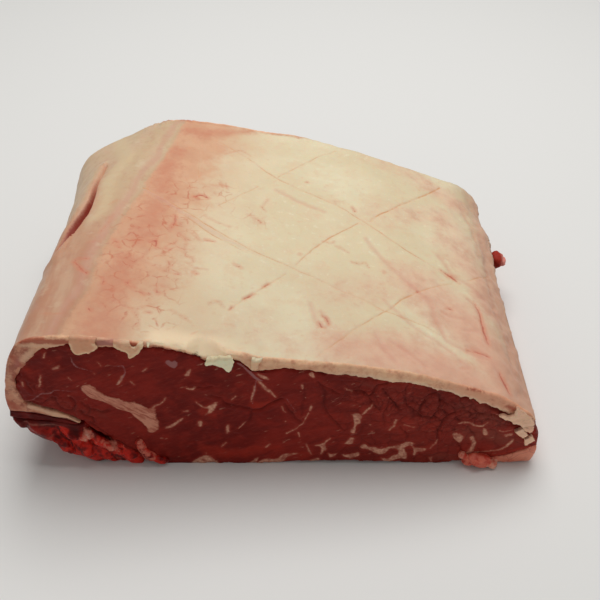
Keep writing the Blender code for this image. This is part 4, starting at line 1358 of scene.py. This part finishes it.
def lean_finish():
    """Dark red lean, cut across its bundles of fibre, with flecks of fat."""
    lean = Finish(
        "red_lean",
        Subsurface_Weight=0.05,
        Subsurface_Radius=(1.0, 0.2, 0.1),
        Subsurface_Scale=0.002,
        Specular_IOR_Level=0.07,
    )
    slow = lean.grain(24, 3)
    patch = lean.grain(6, 4, 0.6)
    fine = lean.grain(0.9, 3)
    slanted = lean.turned(math.radians(24))
    streak = lean.grain(4, 3, 0.6, (0.3, 1.0, 1.2), slanted)
    fibre = lean.grain(1.3, 3, 0.65, (0.22, 1.0, 1.0), slanted)
    ripple = 0.8 * (lean.grain(1.1, 3, 0.65) - 0.5)

    colour = lean.paint(
        (112, 25, 19),
        (lean.rise(slow, 0.35, 0.68), (136, 35, 26)),
        (lean.rise(patch, 0.45, 0.72, 0.6), (148, 42, 32)),
        (lean.rise(streak, 0.48, 0.72, 0.45), (94, 18, 15)),
    )
    ruddy = lean.mark("ruddy") + 0.9 * (patch - 0.5)
    colour = lean.paint(
        colour,
        (lean.rise(ruddy, 0.1, 1.2, 0.5), (176, 50, 34)),
        (lean.rise(ruddy, -0.1, -1.2, 0.75), (124, 60, 48)),
        (lean.rise(fibre, 0.52, 0.72, 0.25), (168, 66, 50)),
        (lean.rise(fibre, 0.46, 0.3, 0.25), (88, 16, 13)),
    )
    across = lean.along("X")
    colour = lean.paint(colour, (lean.rise(across, -10, 60, 0.14), (176, 76, 60)))

    # Furrows between the bundles of fibre, darkened with painted shade, and the creases of the cut.
    bundle = lean.mark("bundle") + ripple
    colour = lean.paint(colour, (lean.rise(bundle, 0.6, 0.0, 0.25), (76, 14, 12)))
    groove = lean.mark("groove") + 0.7 * ripple + 0.12
    colour = lean.paint(
        colour,
        (lean.rise(groove, 1.0, 0.0, 0.25), (80, 14, 12)),
        (lean.rise(groove, 0.2, -0.5, 0.9), (54, 9, 8)),
    )

    creased = lean.mark("creased") + 0.5 * (patch - 0.5)
    creased = lean.rise(creased, 0.1, 0.8)
    creases = lean.cell_border(6.0, lean.bent(4, 3.0))
    wrinkles = lean.cell_border(2.6, lean.bent(3, 2.0))
    # The creases and wrinkles are darkened with painted shade, and the cells between the wrinkles lightened
    # with a painted highlight.
    colour = lean.paint(
        colour,
        (lean.rise(wrinkles, 0.05, 0.3, 0.28) * creased, (150, 62, 50)),
        (lean.rise(wrinkles, 0.08, 0.0, 0.25) * creased, (78, 13, 11)),
        (lean.rise(creases, 0.06, 0.0, 0.42) * creased, (64, 11, 9)),
    )

    # Flecks of fat, the gristle, the silvery membranes, and the edge of the cut.
    pale = lean.paint((190, 124, 102), (lean.rise(fine, 0.3, 0.7), (224, 168, 140)))
    thread = lean.grain(1.7, 3, 0.6, (0.3, 1.0, 1.0), slanted)
    speckle = lean.rise(thread, 0.62, 0.74) * lean.rise(lean.grain(9, 2), 0.42, 0.6)
    colour = lean.paint(colour, (0.5 * speckle, pale))
    fleck = lean.mark("fleck") + 1.2 * ripple
    colour = lean.paint(colour, (lean.rise(fleck, 1.2, 0.0, 0.4), (164, 60, 46)))
    strength = lean.rise(lean.grain(2.4, 3), 0.3, 0.62, 0.6) + 0.35
    colour = lean.paint(colour, (lean.rise(fleck, 0.35, -0.45) * strength, pale))
    band = lean.grain(1.3, 4, 0.65, (0.2, 1.0, 1.0), lean.turned(math.radians(-38)))
    gristle = lean.paint(
        (214, 146, 121),
        (lean.rise(band, 0.44, 0.62, 0.8), (162, 74, 58)),
        (lean.rise(patch, 0.42, 0.68, 0.6), (182, 104, 84)),
    )
    colour = lean.paint(colour, (lean.rise(lean.mark("gristle") + 1.6 * ripple, 0.4, -0.4), gristle))
    silver = lean.mark("membrane") + ripple + 0.12
    colour = lean.paint(colour, (lean.rise(silver, 0.3, -0.3, 0.68), (172, 120, 118)))
    seam = lean.mark("seam") + ripple
    colour = lean.paint(
        colour,
        (lean.rise(seam, 0.7, 0.0, 0.5), (156, 62, 50)),
        (0.45 * lean.mark("side"), (92, 14, 12)),
        (lean.mark("tip"), (224, 140, 126)),
    )

    roughness = 0.34 + 0.25 * patch
    height = 0.25 * lean.grain(1.1, 3) + 0.3 * patch + 0.2 * fibre - 0.1 * lean.rise(bundle, 0.5, 0.0)
    swelling = 0.6 * lean.rise(creases, 0.0, 0.25) + 0.2 * lean.rise(wrinkles, 0.0, 0.3)
    height = height + swelling * creased
    return lean.dress(colour, roughness, height, 0.6)


def trim_finish():
    """Ragged bright red trim with scraps of fat through it, with painted shade in the gaps between its
    folds and over its left end.
    """
    trim = Finish(
        "ragged_trim",
        Subsurface_Weight=0.06,
        Subsurface_Radius=(1.0, 0.2, 0.1),
        Subsurface_Scale=0.002,
        Specular_IOR_Level=0.14,
    )
    slow = trim.grain(6, 3, 0.6)
    fine = trim.grain(1.6, 3)
    # Red, with painted shade in the gaps between the folds.
    colour = trim.paint(
        (104, 9, 6),
        (trim.rise(slow, 0.38, 0.58), (206, 42, 29)),
        (trim.rise(trim.mark("gap") + 0.6 * (fine - 0.5), 0.3, 0.9, 0.8), (44, 3, 3)),
        (trim.rise(fine, 0.55, 0.74, 0.3), (60, 4, 4)),
    )
    scraps = trim.grain(3.6, 3, 0.6, (1.0, 0.4, 0.8), trim.bent(6, 4.0))
    # Scraps of fat, and painted shade over the trim's left end.
    colour = trim.paint(
        colour,
        (trim.rise(scraps, 0.64, 0.7, 0.5), (200, 90, 70)),
        (0.6 * trim.mark("painted_left_shade"), (84, 14, 11)),
    )
    pale = trim.mark("pale") + 1.6 * (trim.grain(2.6, 4, 0.65) - 0.5) - 0.15
    colour = trim.paint(
        colour,
        (trim.rise(pale, 0.3, 0.6, 0.9), (212, 116, 96)),
        (trim.rise(pale, 0.65, 1.05, 0.8), (236, 186, 164)),
    )
    band = trim.paint((76, 9, 7), (trim.rise(slow, 0.35, 0.65), (112, 26, 20)))
    colour = trim.paint(colour, (trim.mark("band"), band))
    skin = trim.mark("skin") + 0.5 * (fine - 0.5)
    colour = trim.paint(colour, (trim.rise(skin, 0.3, -0.3, 0.5), (178, 112, 96)))
    height = 0.6 * trim.grain(2.2, 3) + 0.25 * fine
    return trim.dress(colour, 0.25 + 0.2 * slow, height, 0.7)


def tail_finish():
    """Pinkish fat with red threads, and a redder lump of it in front."""
    tail = Finish(
        "pinkish_fat",
        Subsurface_Weight=0.12,
        Subsurface_Radius=(1.0, 0.4, 0.25),
        Subsurface_Scale=0.003,
        Specular_IOR_Level=0.2,
    )
    slow = tail.grain(12, 3)
    mottle = tail.grain(4, 4, 0.6)
    threads = tail.cell_border(7, tail.bent(4, 4.0))
    colour = tail.paint(
        (216, 120, 97),
        (tail.rise(slow, 0.35, 0.65), (234, 150, 122)),
        (tail.rise(mottle, 0.5, 0.75, 0.4), (184, 94, 76)),
        (0.35 * tail.rise(threads, 0.05, 0.0), (150, 44, 36)),
    )
    meaty = tail.paint((196, 66, 50), (tail.rise(mottle, 0.4, 0.6), (224, 114, 92)))
    pale = tail.mark("pale") + 1.2 * (tail.grain(2.0, 3, 0.6) - 0.5) - 0.12
    meaty = tail.paint(meaty, (tail.rise(pale, 0.4, 0.7), (228, 158, 134)))
    colour = tail.paint(colour, (tail.mark("lump"), meaty))
    height = 0.4 * tail.grain(2.5, 3)
    return tail.dress(colour, 0.3 + 0.2 * mottle, height, 0.5)


def chain_finish():
    """Dark moist lean, with a silvery skin along its middle."""
    chain = Finish("dark_lean", Specular_IOR_Level=0.08)
    slow = chain.grain(7, 3)
    fine = chain.grain(1.2, 3)
    colour = chain.paint((76, 9, 7), (chain.rise(slow, 0.35, 0.65), (110, 22, 16)))
    skin = chain.mark("membrane") + 0.5 * (fine - 0.5)
    colour = chain.paint(colour, (chain.rise(skin, 0.5, -0.2, 0.75), (184, 124, 108)))
    return chain.dress(colour, 0.28 + 0.2 * slow, 0.3 * chain.grain(1.5, 3), 0.6)


# ---------------------------------------------------------------- pieces


def on_cuts(places):
    """How much each point belongs to the front or the back cut, 0 to 1."""
    y = places[:, 1]
    front = fade(y - FRONT, 0.0001, 0.0006)
    return np.maximum(front, smooth_step(y - y.max(), -0.0006, -0.0001))


def faces_front(piece):
    return facing_of(piece)[:, 1] < -FACING


def faces_back(piece):
    return facing_of(piece)[:, 1] > 0.6


def in_slope(across):
    """How much of the fat's face at this x, in millimetres, slopes down to the lean, 0 to 1."""
    return smooth_step(across, -52, -45) * fade(across, -30, -6)


def shift_seam(places):
    """Moves the seam between lean and fat, near the front cut, to where the torn edge runs."""
    at = places / MM
    gap = at[:, 2] - np.interp(at[:, 0], SEAM_X, PACKED_SEAM)
    rise = np.interp(at[:, 0], SEAM_X, TORN_SEAM - PACKED_SEAM, left=0.0, right=0.0)
    share = fade(np.abs(gap), 0.6, 4.0) * fade(places[:, 1] - FRONT, 0.001, 0.012)
    return places + np.outer(rise * share * MM, (0, 0, 1))


def sloped(places):
    """How much each point belongs to the fat's slope, 0 to 1, and how high over its foot it lies."""
    at = places / MM
    width = in_slope(at[:, 0])
    over = at[:, 2] - np.interp(at[:, 0], SEAM_X, TORN_SEAM)
    return width * smooth_step(over, 0.5, 1.6), width * np.clip(over - 0.8, 0, 4)


def seam_gap(places, reach=6.0):
    """How far the points within reach of a cut lie from the outline of the lean, up to FAR."""
    at = places / MM
    gap = np.full(len(places), FAR)
    to_cut = np.minimum(np.abs(at[:, 1] - FRONT / MM), np.abs(at[:, 1] - at[:, 1].max()))
    for i in np.flatnonzero(to_cut < reach):
        gap[i] = min(FAR, LEAN_OUTLINE.find((at[i, 0], at[i, 2], 0))[2])
    return gap


def fray(places, gap):
    """Pushes the points near the seam about, the same way in both pieces, so it is ragged."""
    spots = np.column_stack([places[:, 0], 0 * gap, places[:, 2]]) / MM
    share = fade(gap, 0.8, 2.6)
    some = np.flatnonzero(share > 0)
    for axis, seed in ((0, 51), (2, 52)):
        places[some, axis] += 0.75 * MM * share[some] * lumps(spots[some], 2.4, 3, seed)
    return places


def flatten_cuts(places, normals):
    """Brings what lies close to the plane of either cut into it."""
    for side, plane in ((-1, FRONT), (1, places[:, 1].max())):
        flat = (side * normals[:, 1] > FACING) & (np.abs(places[:, 1] - plane) < 0.0015)
        places[flat, 1] = plane


def lean_marks(places):
    """The distances to the marks on the lean's cuts, with their lines made a little crooked."""
    section = places[:, [0, 2]] / MM
    warp = np.column_stack([lumps(places / MM, 4, 3, seed) for seed in (1, 2)])
    crooked = section + 0.45 * warp
    warp = np.column_stack([lumps(places / MM, 9, 2, seed) for seed in (3, 4)])
    bundle = borders(section + 3.0 * warp, 6.5, 5)
    return {
        "fleck": np.minimum(outside(crooked, FLECKS), beyond(crooked, PATCHES)),
        "gristle": beyond(crooked, GRISTLE),
        "membrane": outside(crooked, MEMBRANES),
        "groove": outside(crooked, GROOVES),
        "bundle": bundle + 3.0 * fade(section[:, 0], -20, 30),
    }


def lean_relief(places, marks, creased, gap):
    """How far the lean's cuts stand out at each point, in millimetres."""
    crinkled = 0.12 + 0.16 * creased
    out = 0.5 * lumps(places / MM, 13, 3, 4) + crinkled * lumps(places / MM, 2.6, 3, 6)
    out -= 0.15 * fade(marks["bundle"], 0.0, 0.9)
    out -= 0.7 * fade(marks["groove"], -0.6, 0.5)
    out += 0.22 * fade(np.abs(marks["groove"] - 1.4), 0.0, 1.4)
    out -= 0.35 * fade(gap, 0.0, 1.6)
    out += 0.12 * fade(marks["fleck"], -0.4, 0.4)
    out += 0.35 * fade(marks["gristle"], -0.6, 0.6)
    return out


def make_lean(material):
    """The loin eye, with its bundles of fibre, its gristle and flecks of fat on both cuts."""
    lean = copy_solid("lean", "loin_lean")
    places = points_of(lean)
    places[:, 0] = np.minimum(places[:, 0], RIGHT_SIDE)
    move_points(lean, places)
    round_off(lean, 2)
    recast(lean, {"mode": "SHARP", "octree_depth": 7, "scale": 0.9}, [(faces_front, 3), (faces_back, 1)])

    places = points_of(lean)
    normals = normals_of(lean)
    flatten_cuts(places, normals)
    gap = seam_gap(places)
    inner = fade(places[:, 0], 0.092, 0.1)
    wider = inner * (0.22 + 0.7 * fade(gap, 0.0, 1.2))
    places[:, [0, 2]] += wider[:, None] * MM * normals[:, [0, 2]]
    places = shift_seam(fray(places, gap))

    section = places[:, [0, 2]] / MM
    cut = np.maximum(on_cuts(places), smooth_step(normals[:, 1], 0.4, 0.7))
    marks = lean_marks(places)
    creased = tint_of(section, CREASED)
    ruddy = tint_of(section, RUDDY) - tint_of(section, DULL)
    edge = smooth_step(section[:, 1], 0.0, 1.5)
    out = lean_relief(places, marks, creased, gap)
    places[:, 1] += np.sign(places[:, 1]) * cut * edge * out * MM
    places[:, 2] = np.maximum(places[:, 2], 0.0)
    move_points(lean, places)
    count = len(places)

    join(lean, round_lumps(NUB, 3, 0.2))
    for name, values in marks.items():
        keep(lean, name, values + FAR * (1 - cut), FAR)
    keep(lean, "ruddy", ruddy * cut, 1.0)
    keep(lean, "creased", creased * cut)
    keep(lean, "seam", gap, FAR)
    keep(lean, "side", 1 - cut)
    tip = smooth_step(points_of(lean)[count:, 0] / MM, 110.8, 113.4)
    keep(lean, "tip", np.append(np.zeros(count), tip))
    finish_piece(lean, material, "lean")


def drop_flaps(piece):
    """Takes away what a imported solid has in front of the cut, for finer shapes to take its place."""
    choose(piece, "VERT", points_of(piece)[:, 1] < FRONT - 0.0001)
    bpy.ops.mesh.delete(type="VERT")
    bpy.ops.mesh.select_all(action="SELECT")
    bpy.ops.mesh.fill_holes(sides=0)
    done()


def outer_faces(fat):
    """The fat's outside: its top and its left side."""
    normals = facing_of(fat)
    centres = centres_of(fat)
    strip = (centres[:, 0] < -0.08) & (centres[:, 2] < 0.04) & (normals[:, 2] > 0.5)
    outer = (normals[:, 2] > 0.15) | (normals[:, 0] < -0.15)
    return outer & ~strip & (np.abs(normals[:, 1]) < FACING)


def outer_points(fat):
    """1 for each point of the outer faces, and 0 for the others."""
    outer = np.zeros(len(fat.data.vertices))
    for face in np.flatnonzero(outer_faces(fat)):
        outer[list(fat.data.polygons[face].vertices)] = 1.0
    return outer


def hung_from(fat):
    """How a scrap's flat points hang: over the front cut, and back over the rim onto the fat."""
    places = points_of(fat)
    rim = places[(np.abs(places[:, 1] - FRONT) < 0.0005) & (normals_of(fat)[:, 2] > 0.2)] / MM
    rim = rim[np.argsort(rim[:, 0])]
    steps = np.arange(-110, 110, 1.0)
    tops = np.array([rim[np.abs(rim[:, 0] - step) < 1.5, 2].max(initial=0) for step in steps])
    tops += in_slope(steps) * (np.interp(steps, SEAM_X, TORN_SEAM) + 1.0 - tops)

    def place(flat, away):
        top = np.interp(flat[:, 0], steps, tops)
        over = flat[:, 1] - top
        back = np.maximum(over + 0.8, 0.0) * 1.4
        down = np.minimum(over, 0.0)
        # Its middle and its low end stand out from the cut.
        curl = 0.25 * smooth_step(-away, 0.0, 2.0) + 0.35 * smooth_step(-down, 1.0, 8.0)
        wave = 0.2 * lumps(np.column_stack([flat, np.zeros(len(flat))]), 3.0, 2, 15)
        y = FRONT / MM - 0.5 - curl - wave + back
        at_top = top + 0.25 + 0.3 * curl + wave
        # Behind the rim it follows the fat below, and its end sinks in.
        for i in np.flatnonzero(y > FRONT / MM + 0.3):
            hit, spot, _, _ = fat.ray_cast(Vector((flat[i, 0], y[i], 200)) * MM, Vector((0, 0, -1)))
            sunk = 2.4 * smooth_step(over[i], -0.5, 2.0)
            at_top[i] = spot.z / MM + 0.3 - sunk if hit else at_top[i]
        z = np.where(over > -0.8, at_top + down, flat[:, 1])
        return np.column_stack([flat[:, 0], y, z])

    return place


def divide_fat(fat):
    """Divides the fat's outside and its cuts, most finely along the marks on it."""
    divide(fat, outer_faces(fat), 1)
    divide(fat, faces_front(fat), 2)
    divide(fat, faces_back(fat), 1)
    flat = centres_of(fat)[:, :2] / MM
    close = (outside(flat, SCORES) < 1.2) | (outside(flat, FOLDS) < 0.8) | (outside(flat, CLEFT) < 3.5)
    divide(fat, outer_faces(fat) & close, 1)


def fat_marks(places):
    """The distances to the marks on top of the fat, with their lines made a little crooked."""
    flat = places[:, :2] / MM
    warp = np.column_stack([lumps(places / MM, 5, 3, seed) for seed in (6, 7)])
    crooked = flat + 0.5 * warp
    return {
        "score": outside(flat + 0.25 * warp, SCORES),
        "fold": outside(crooked, FOLDS),
        "blood": outside(crooked, BLOOD),
        "vein": outside(flat + 0.9 * warp, VEINS),
        "scar": outside(crooked, SCAR),
    }


def fat_relief(places, marks, around, cleft):
    """How far the fat's outside stands out at each point, in millimetres."""
    spots = places / MM
    flat = spots[:, :2]
    out = 0.7 * lumps(spots, 24, 3, 8) + 0.2 * lumps(spots, 7, 3, 9)
    out -= 0.15 * fade(marks["score"], -0.5, 0.5)
    out -= 0.14 * fade(marks["fold"], -0.6, 1.4)
    out += 0.09 * fade(np.abs(marks["fold"] - 2.0), 0.0, 1.4)
    out += 0.14 * fade(marks["scar"], -1.0, 0.6)
    # The flank lies a little lower than the top, with a low ridge along the break.
    flank = -side_of(flat, BREAK)
    out -= 0.4 * smooth_step(flank + 2.4 * lumps(spots, 7, 2, 14), -2.0, 2.0)
    out += 0.15 * fade(np.abs(flank + 1.8), 0.0, 2.2)
    out += CORNER_RISE * fade(np.linalg.norm(flat - CORNER, axis=1), 0.0, 15.0)
    out += 0.8 * lumps(spots, 6, 3, 19) * smooth_step(flat[:, 0], 86, 102)
    out += BULGE * fade(np.abs(flat[:, 1] - BULGE_AT), 0.0, 24) * smooth_step(flat[:, 0], 92, 102)
    out -= 0.3 * fade(marks["blood"], -0.4, 0.5)
    # The cleft is cut in, and the lobe on its left swells.
    out -= 3.6 * fade(cleft, -1.2, 0.9)
    lobe = flat[:, 0] < np.interp(flat[:, 1], (-25, 0, 50), (-92, -88.5, -88))
    out += 1.1 * fade(np.abs(around - 3.0), 0.0, 5.5) * lobe
    return out


def soften_rim(fat):
    """Rounds the fat's rim over the front cut, and again from just left of the middle on."""
    on_front = np.abs(points_of(fat)[:, 1] - FRONT) < 0.0022
    soften(fat, on_front & (normals_of(fat)[:, 2] > 0.2), 0.5, 9)
    # The highest point of the cut in each column, 2 mm wide.
    places = points_of(fat)
    column = np.round(places[:, 0] / MM / 2).astype(int) + 60
    front = (places[:, 1] - FRONT < 0.0015) & (places[:, 0] > -0.02)
    tops = np.zeros(121)
    np.maximum.at(tops, column[front], places[front, 2])
    soften(fat, front & (places[:, 2] > tops[column] - 0.0016), 0.5, 5)


def torn_scraps(place):
    """The torn scraps of fat over the front cut, each with its paleness."""
    return [
        (torn_scrap(FLAP_1, (), place, 1.0, rough=0.3), 0.32),
        (torn_scrap(FLAP_2, [FLAP_2_HOLE], place, 1.0, 0.42, 0.25), 0.42),
        (torn_scrap(SHRED, (), place, 0.8, 0.4), 0.7),
        (torn_scrap(FLAP_3, (), place, 1.1, rough=0.3), 1.0),
        (torn_scrap(FOLD, (), place, 0.9), 0.5),
        (torn_scrap(END_FAT, (), place, 1.5, rough=0.4), 0.45),
        (torn_scrap(END_LUMP, (), place, 1.6, rough=0.4), 0.3),
        (torn_scrap(crisp(CUBE_1), (), place, 2.0, 0.35), 0.5),
        (torn_scrap(crisp(CUBE_2), (), place, 2.0, 0.35), 0.6),
    ]


def round_strip(places):
    """How much each point lies by the strip of fat, where its solid shows as dark lean, 0 to 1."""
    section = places[:, [0, 2]] / MM
    lower = (section[:, 0] < -76) & (section[:, 1] < 44)
    spare = smooth_step(beyond(section, [STRIP]), -0.2, 0.5) * lower
    under = section[:, 1] < np.interp(section[:, 0], *np.array(UNDER_STRIP).T)
    inside = smooth_step(section[:, 0], -101, -98)
    spare *= np.where(under, 1.0, inside)
    return np.maximum(spare, smooth_step(places[:, 1] - FRONT, 0.0006, 0.002) * inside * lower)


def keep_scraps(fat, count, tones):
    """Keeps how pale the joined scraps are, with paler hems, and how far they hang off the rim."""
    places = points_of(fat)[count:]
    section = places[:, [0, 2]] / MM
    hang = fade(places[:, 1] - FRONT, -0.0012, 0.0006) * fade(normals_of(fat)[count:, 2], 0.15, 0.75)
    inward = -beyond(section, HEMMED)
    hems = 0.28 * fade(inward, 0.0, 1.6) * (inward > -0.4) * (section[:, 1] < HEMS_BELOW)
    keep(fat, "scrap", np.append(np.zeros(count), tones + hems))
    keep(fat, "hang", np.append(np.zeros(count), hang))


def thin_fat(fat, back):
    """Thins the faces that lie on the lean, out of sight, and the sides a little."""
    centres = centres_of(fat)
    facing = facing_of(fat)
    inside = (centres[:, 1] > FRONT + 0.008) & (centres[:, 1] < back - 0.006) & (facing[:, 1] < 0.5)
    under_lean = (centres[:, 0] < -0.04) & (centres[:, 2] < 0.05)
    inside &= (facing[:, 2] < 0.2) | under_lean
    inside &= facing[:, 0] > np.where(centres[:, 0] < -0.06, -0.3, -0.9)
    to_lean = np.array([LEAN_OUTLINE.find((x, z, 0))[2] for x, z in centres[:, [0, 2]] / MM])
    thin_out(fat, inside & (to_lean < np.where(under_lean, 4.0, 1.5)), 0.04)
    centres = centres_of(fat)
    facing = facing_of(fat)
    thin_out(fat, (facing[:, 2] < 0.3) & (centres[:, 1] > -0.06), 0.55)


def make_fat(material):
    """The fat cap, scored on top, with its flaps over the front cut."""
    fat = copy_solid("fat_cap", "fat_cap_layer")
    drop_flaps(fat)
    round_off(fat, 2)
    divide_fat(fat)

    places = points_of(fat)
    normals = normals_of(fat)
    gap = seam_gap(places)
    flat = places[:, :2] / MM
    cut = on_cuts(places)
    strip = (places[:, 0] < -0.076) & (places[:, 2] < 0.044)
    cut[strip] = np.maximum(cut, fade(places[:, 1] - FRONT, 0.006, 0.009))[strip]
    outer = outer_points(fat)
    around = outside(flat, CLEFT, LOBE_REACH)
    cleft = np.minimum(around, FAR) + FAR * (normals[:, 2] < 0.1)
    marks = fat_marks(places)

    # The relief is shallower along the rims of both cuts, which are ragged in their own way.
    back = places[:, 1].max()
    from_front = smooth_step(places[:, 1] - FRONT, 0.0, 0.006)
    from_back = smooth_step(back - places[:, 1], 0.0, 0.004)
    shown = 0.35 + 0.65 * from_front * from_back
    out = fat_relief(places, marks, around, cleft)
    places = places + normals * (outer * shown * out * MM)[:, None]
    rough = 0.35 * lumps(places / MM, 6, 3, 12)
    places[:, 1] += np.sign(places[:, 1]) * cut * rough * MM
    ragged = smooth_step(places[:, 1], back - 0.012, back - 0.002) * outer
    places[:, 1] -= ragged * MM * (0.6 + 0.9 * lumps(places / MM, 9, 3, 17))
    places = shift_seam(fray(places, gap))
    move_points(fat, places)
    soften_rim(fat)

    # The rim is made uneven, and left of the middle the cut face leans back from it.
    place = hung_from(fat)
    places = points_of(fat)
    normals = normals_of(fat)
    rim = (np.abs(places[:, 1] - FRONT) < 0.002) & (normals[:, 2] > 0.3)
    places[rim] += normals[rim] * 0.35 * MM * lumps(places[rim] / MM, 4, 3, 18)[:, None]
    slope, over = sloped(places)
    behind = fade(places[:, 1] - FRONT, 0.0, 0.016)
    places[:, 1] += 1.7 * over * behind * MM
    cut = cut * (1 - slope * behind)
    slope = slope * fade(places[:, 1] - FRONT, 0.004, 0.012)
    move_points(fat, places)

    count = len(places)
    scraps = torn_scraps(place)
    tones = np.concatenate([np.full(len(scrap.data.vertices), tone) for scrap, tone in scraps])
    join(fat, [scrap for scrap, _ in scraps])
    places = points_of(fat)
    flat = places[:, :2] / MM
    section = places[:, [0, 2]] / MM
    for name, values in marks.items():
        keep(fat, name, values + FAR * cut, FAR)
    on_top = {"blush": BLUSH, "rosy": ROSY, "network": NETWORK, "pale_flank": PALE_FLANK}
    for name, patches in on_top.items():
        keep(fat, name, tint_of(flat, patches))
    on_cut = {"creamy_and_highlit": CREAMY_AND_HIGHLIT, "rusty": RUSTY, "purple": PURPLE}
    for name, patches in on_cut.items():
        keep(fat, name, tint_of(section, patches))
    keep(fat, "flank", -side_of(flat, BREAK))
    keep(fat, "cut", cut)
    keep(fat, "spare", round_strip(places[:count]))
    keep(fat, "slope", slope)
    keep(fat, "seam", gap, FAR)
    keep(fat, "cleft", cleft, FAR)
    keep(fat, "left_end", fade(flat[:count, 0], -98, -84))
    keep_scraps(fat, count, tones)
    thin_fat(fat, back)
    finish_piece(fat, material, "fat_cap")


def paleness(places, meat):
    """How pale each point is, from the paleness of the lumps of meat that it lies in."""
    pale = np.zeros(len(places))
    weight = np.full(len(places), 1e-3)
    for centre, radii, turn, tone in meat:
        away = turn_about_y(places / MM - centre, -turn)
        near_by = fade(np.linalg.norm(away / radii, axis=1), 0.8, 1.6)
        pale += near_by * tone
        weight += near_by
    return pale / weight * smooth_step(weight, 0.0, 0.3)


def make_trim(material):
    """The ragged finger meat at the lower left."""
    trim = copy_solid("finger_meat", "finger_meat_trim")
    round_off(trim, 2)
    meat = TRIM_LUMPS + SLAB
    join(trim, round_lumps(meat, 30, 0.22))
    apply_modifier(trim, "REMESH", mode="VOXEL", voxel_size=0.65 * MM)
    places = points_of(trim)
    normals = normals_of(trim)
    # The noise that makes its folds is slanted.
    leant = places / MM @ np.array([[1, 0, 0], [0, 1, 0], [0.45, 0, 0.55]])
    section = places[:, [0, 2]] / MM
    foot = np.interp(section[:, 0], *np.array(BAND_FOOT).T)
    above = section[:, 1] - foot + 0.8 * lumps(leant, 3, 2, 24)
    front = fade(places[:, 1] - FRONT, 0.002, 0.008)
    band = smooth_step(above, -0.5, 0.6) * fade(section[:, 0], -84, -80) * front
    billow = np.abs(lumps(leant, 10, 2, 22))
    out = 0.9 * lumps(places / MM, 8, 3, 21) + (1 - band) * (1.7 * smooth_step(billow, 0.0, 0.3) - 1.0)
    out += 0.12 * lumps(places / MM, 1.8, 2, 23)
    inner = smooth_step(places[:, 1] - FRONT, -0.001, 0.004)
    places = places + normals * ((0.6 + 0.4 * inner) * out * MM)[:, None]
    places[:, 2] = np.maximum(places[:, 2], 0.0)
    move_points(trim, places)
    pale = paleness(places, meat) * (1 - band)
    keep(trim, "pale", pale)
    # Painted shade in the gaps between the folds of the trim.
    keep(trim, "gap", fade(billow, 0.0, 0.12) * (1 - band) * fade(pale, 0.4, 0.8))
    keep(trim, "band", band)
    # Painted shade over the trim's left end, darkest left of x = -98 mm and gone by -88 mm.
    keep(trim, "painted_left_shade", fade(section[:, 0], -98, -88))
    keep(trim, "skin", outside(section, CHAIN_LINE) + FAR * (1 - front))
    finish_piece(trim, material, "finger_meat")


def make_tail(material):
    """The wedge of fat at the lower right, with its lump."""
    tail = copy_solid("tail_fat", "tail_fat_wedge")
    drop_flaps(tail)
    round_off(tail, 2)
    join(tail, round_lumps(TAIL_LUMPS, 60, 0.25))
    apply_modifier(tail, "REMESH", mode="VOXEL", voxel_size=0.6 * MM)
    places = points_of(tail)
    normals = normals_of(tail)
    out = 0.4 * lumps(places / MM, 6, 3, 31) + 0.12 * lumps(places / MM, 1.6, 2, 32)
    places = places + normals * (out * MM)[:, None]
    places[:, 2] = np.maximum(places[:, 2], 0.0)
    move_points(tail, places)
    lump = fade(places[:, 0] / MM, 91, 95)
    front = fade(places[:, 1] - FRONT, -0.001, 0.004)
    keep(tail, "lump", lump * front)
    keep(tail, "pale", paleness(places, TAIL_LUMPS))
    finish_piece(tail, material, "tail_fat")


def make_chain(material):
    """The thin dark muscle under the strip of fat."""
    chain = copy_solid("chain_muscle", "chain_muscle_layer")
    round_off(chain, 3)
    places = points_of(chain)
    section = places[:, [0, 2]] / MM
    cut = on_cuts(places)
    places[:, 1] += np.sign(places[:, 1]) * cut * (0.35 * lumps(places / MM, 4, 3, 41) - 0.2) * MM
    move_points(chain, places)
    keep(chain, "membrane", outside(section, CHAIN_LINE) + FAR * (1 - cut))
    finish_piece(chain, material, "chain_muscle")


# ---------------------------------------------------------------- the picture


def add_floor():
    bpy.ops.object.select_all(action="DESELECT")
    bpy.ops.mesh.primitive_plane_add(size=12, location=(0, 0, 0))
    floor = bpy.context.object
    floor.name = "floor"
    pale = Finish("pale_floor", Base_Color=srgb(226, 225, 222), Roughness=0.8, Specular_IOR_Level=0.1)
    floor.data.materials.append(pale.material)


def add_light(name, size, power, place, target):
    light = bpy.data.lights.new(name, "AREA")
    light.size = size
    light.energy = power
    lamp = bpy.data.objects.new(name, light)
    lamp.location = place
    lamp.rotation_euler = (Vector(target) - Vector(place)).to_track_quat("-Z", "Y").to_euler()
    bpy.context.scene.collection.objects.link(lamp)


def add_camera():
    """The camera fitted to the photo, which looks down on the front cut."""
    data = bpy.data.cameras.new("camera")
    data.lens = 49.36
    data.sensor_width = 36
    camera = bpy.data.objects.new("camera", data)
    camera.location = (0.0088, -0.30505, 0.284)
    camera.rotation_euler = (math.radians(49.2), 0.0, 0.0)
    bpy.context.scene.collection.objects.link(camera)
    bpy.context.scene.camera = camera


def set_room_light(colour, strength):
    world = bpy.data.worlds.new("room")
    world.use_nodes = True
    background = world.node_tree.nodes["Background"]
    background.inputs["Color"].default_value = colour
    background.inputs["Strength"].default_value = strength
    bpy.context.scene.world = world


add_camera()
bpy.context.scene.view_settings.view_transform = "Standard"
set_room_light((1.0, 0.99, 0.97, 1.0), 0.3)
add_light("overhead", size=0.8, power=8.8, place=(0.05, 0.25, 1.0), target=(0, 0, 0.03))
add_floor()

LEAN_OUTLINE = cut_outline("lean")
make_lean(lean_finish())
make_fat(fat_finish())
make_trim(trim_finish())
make_tail(tail_finish())
make_chain(chain_finish())
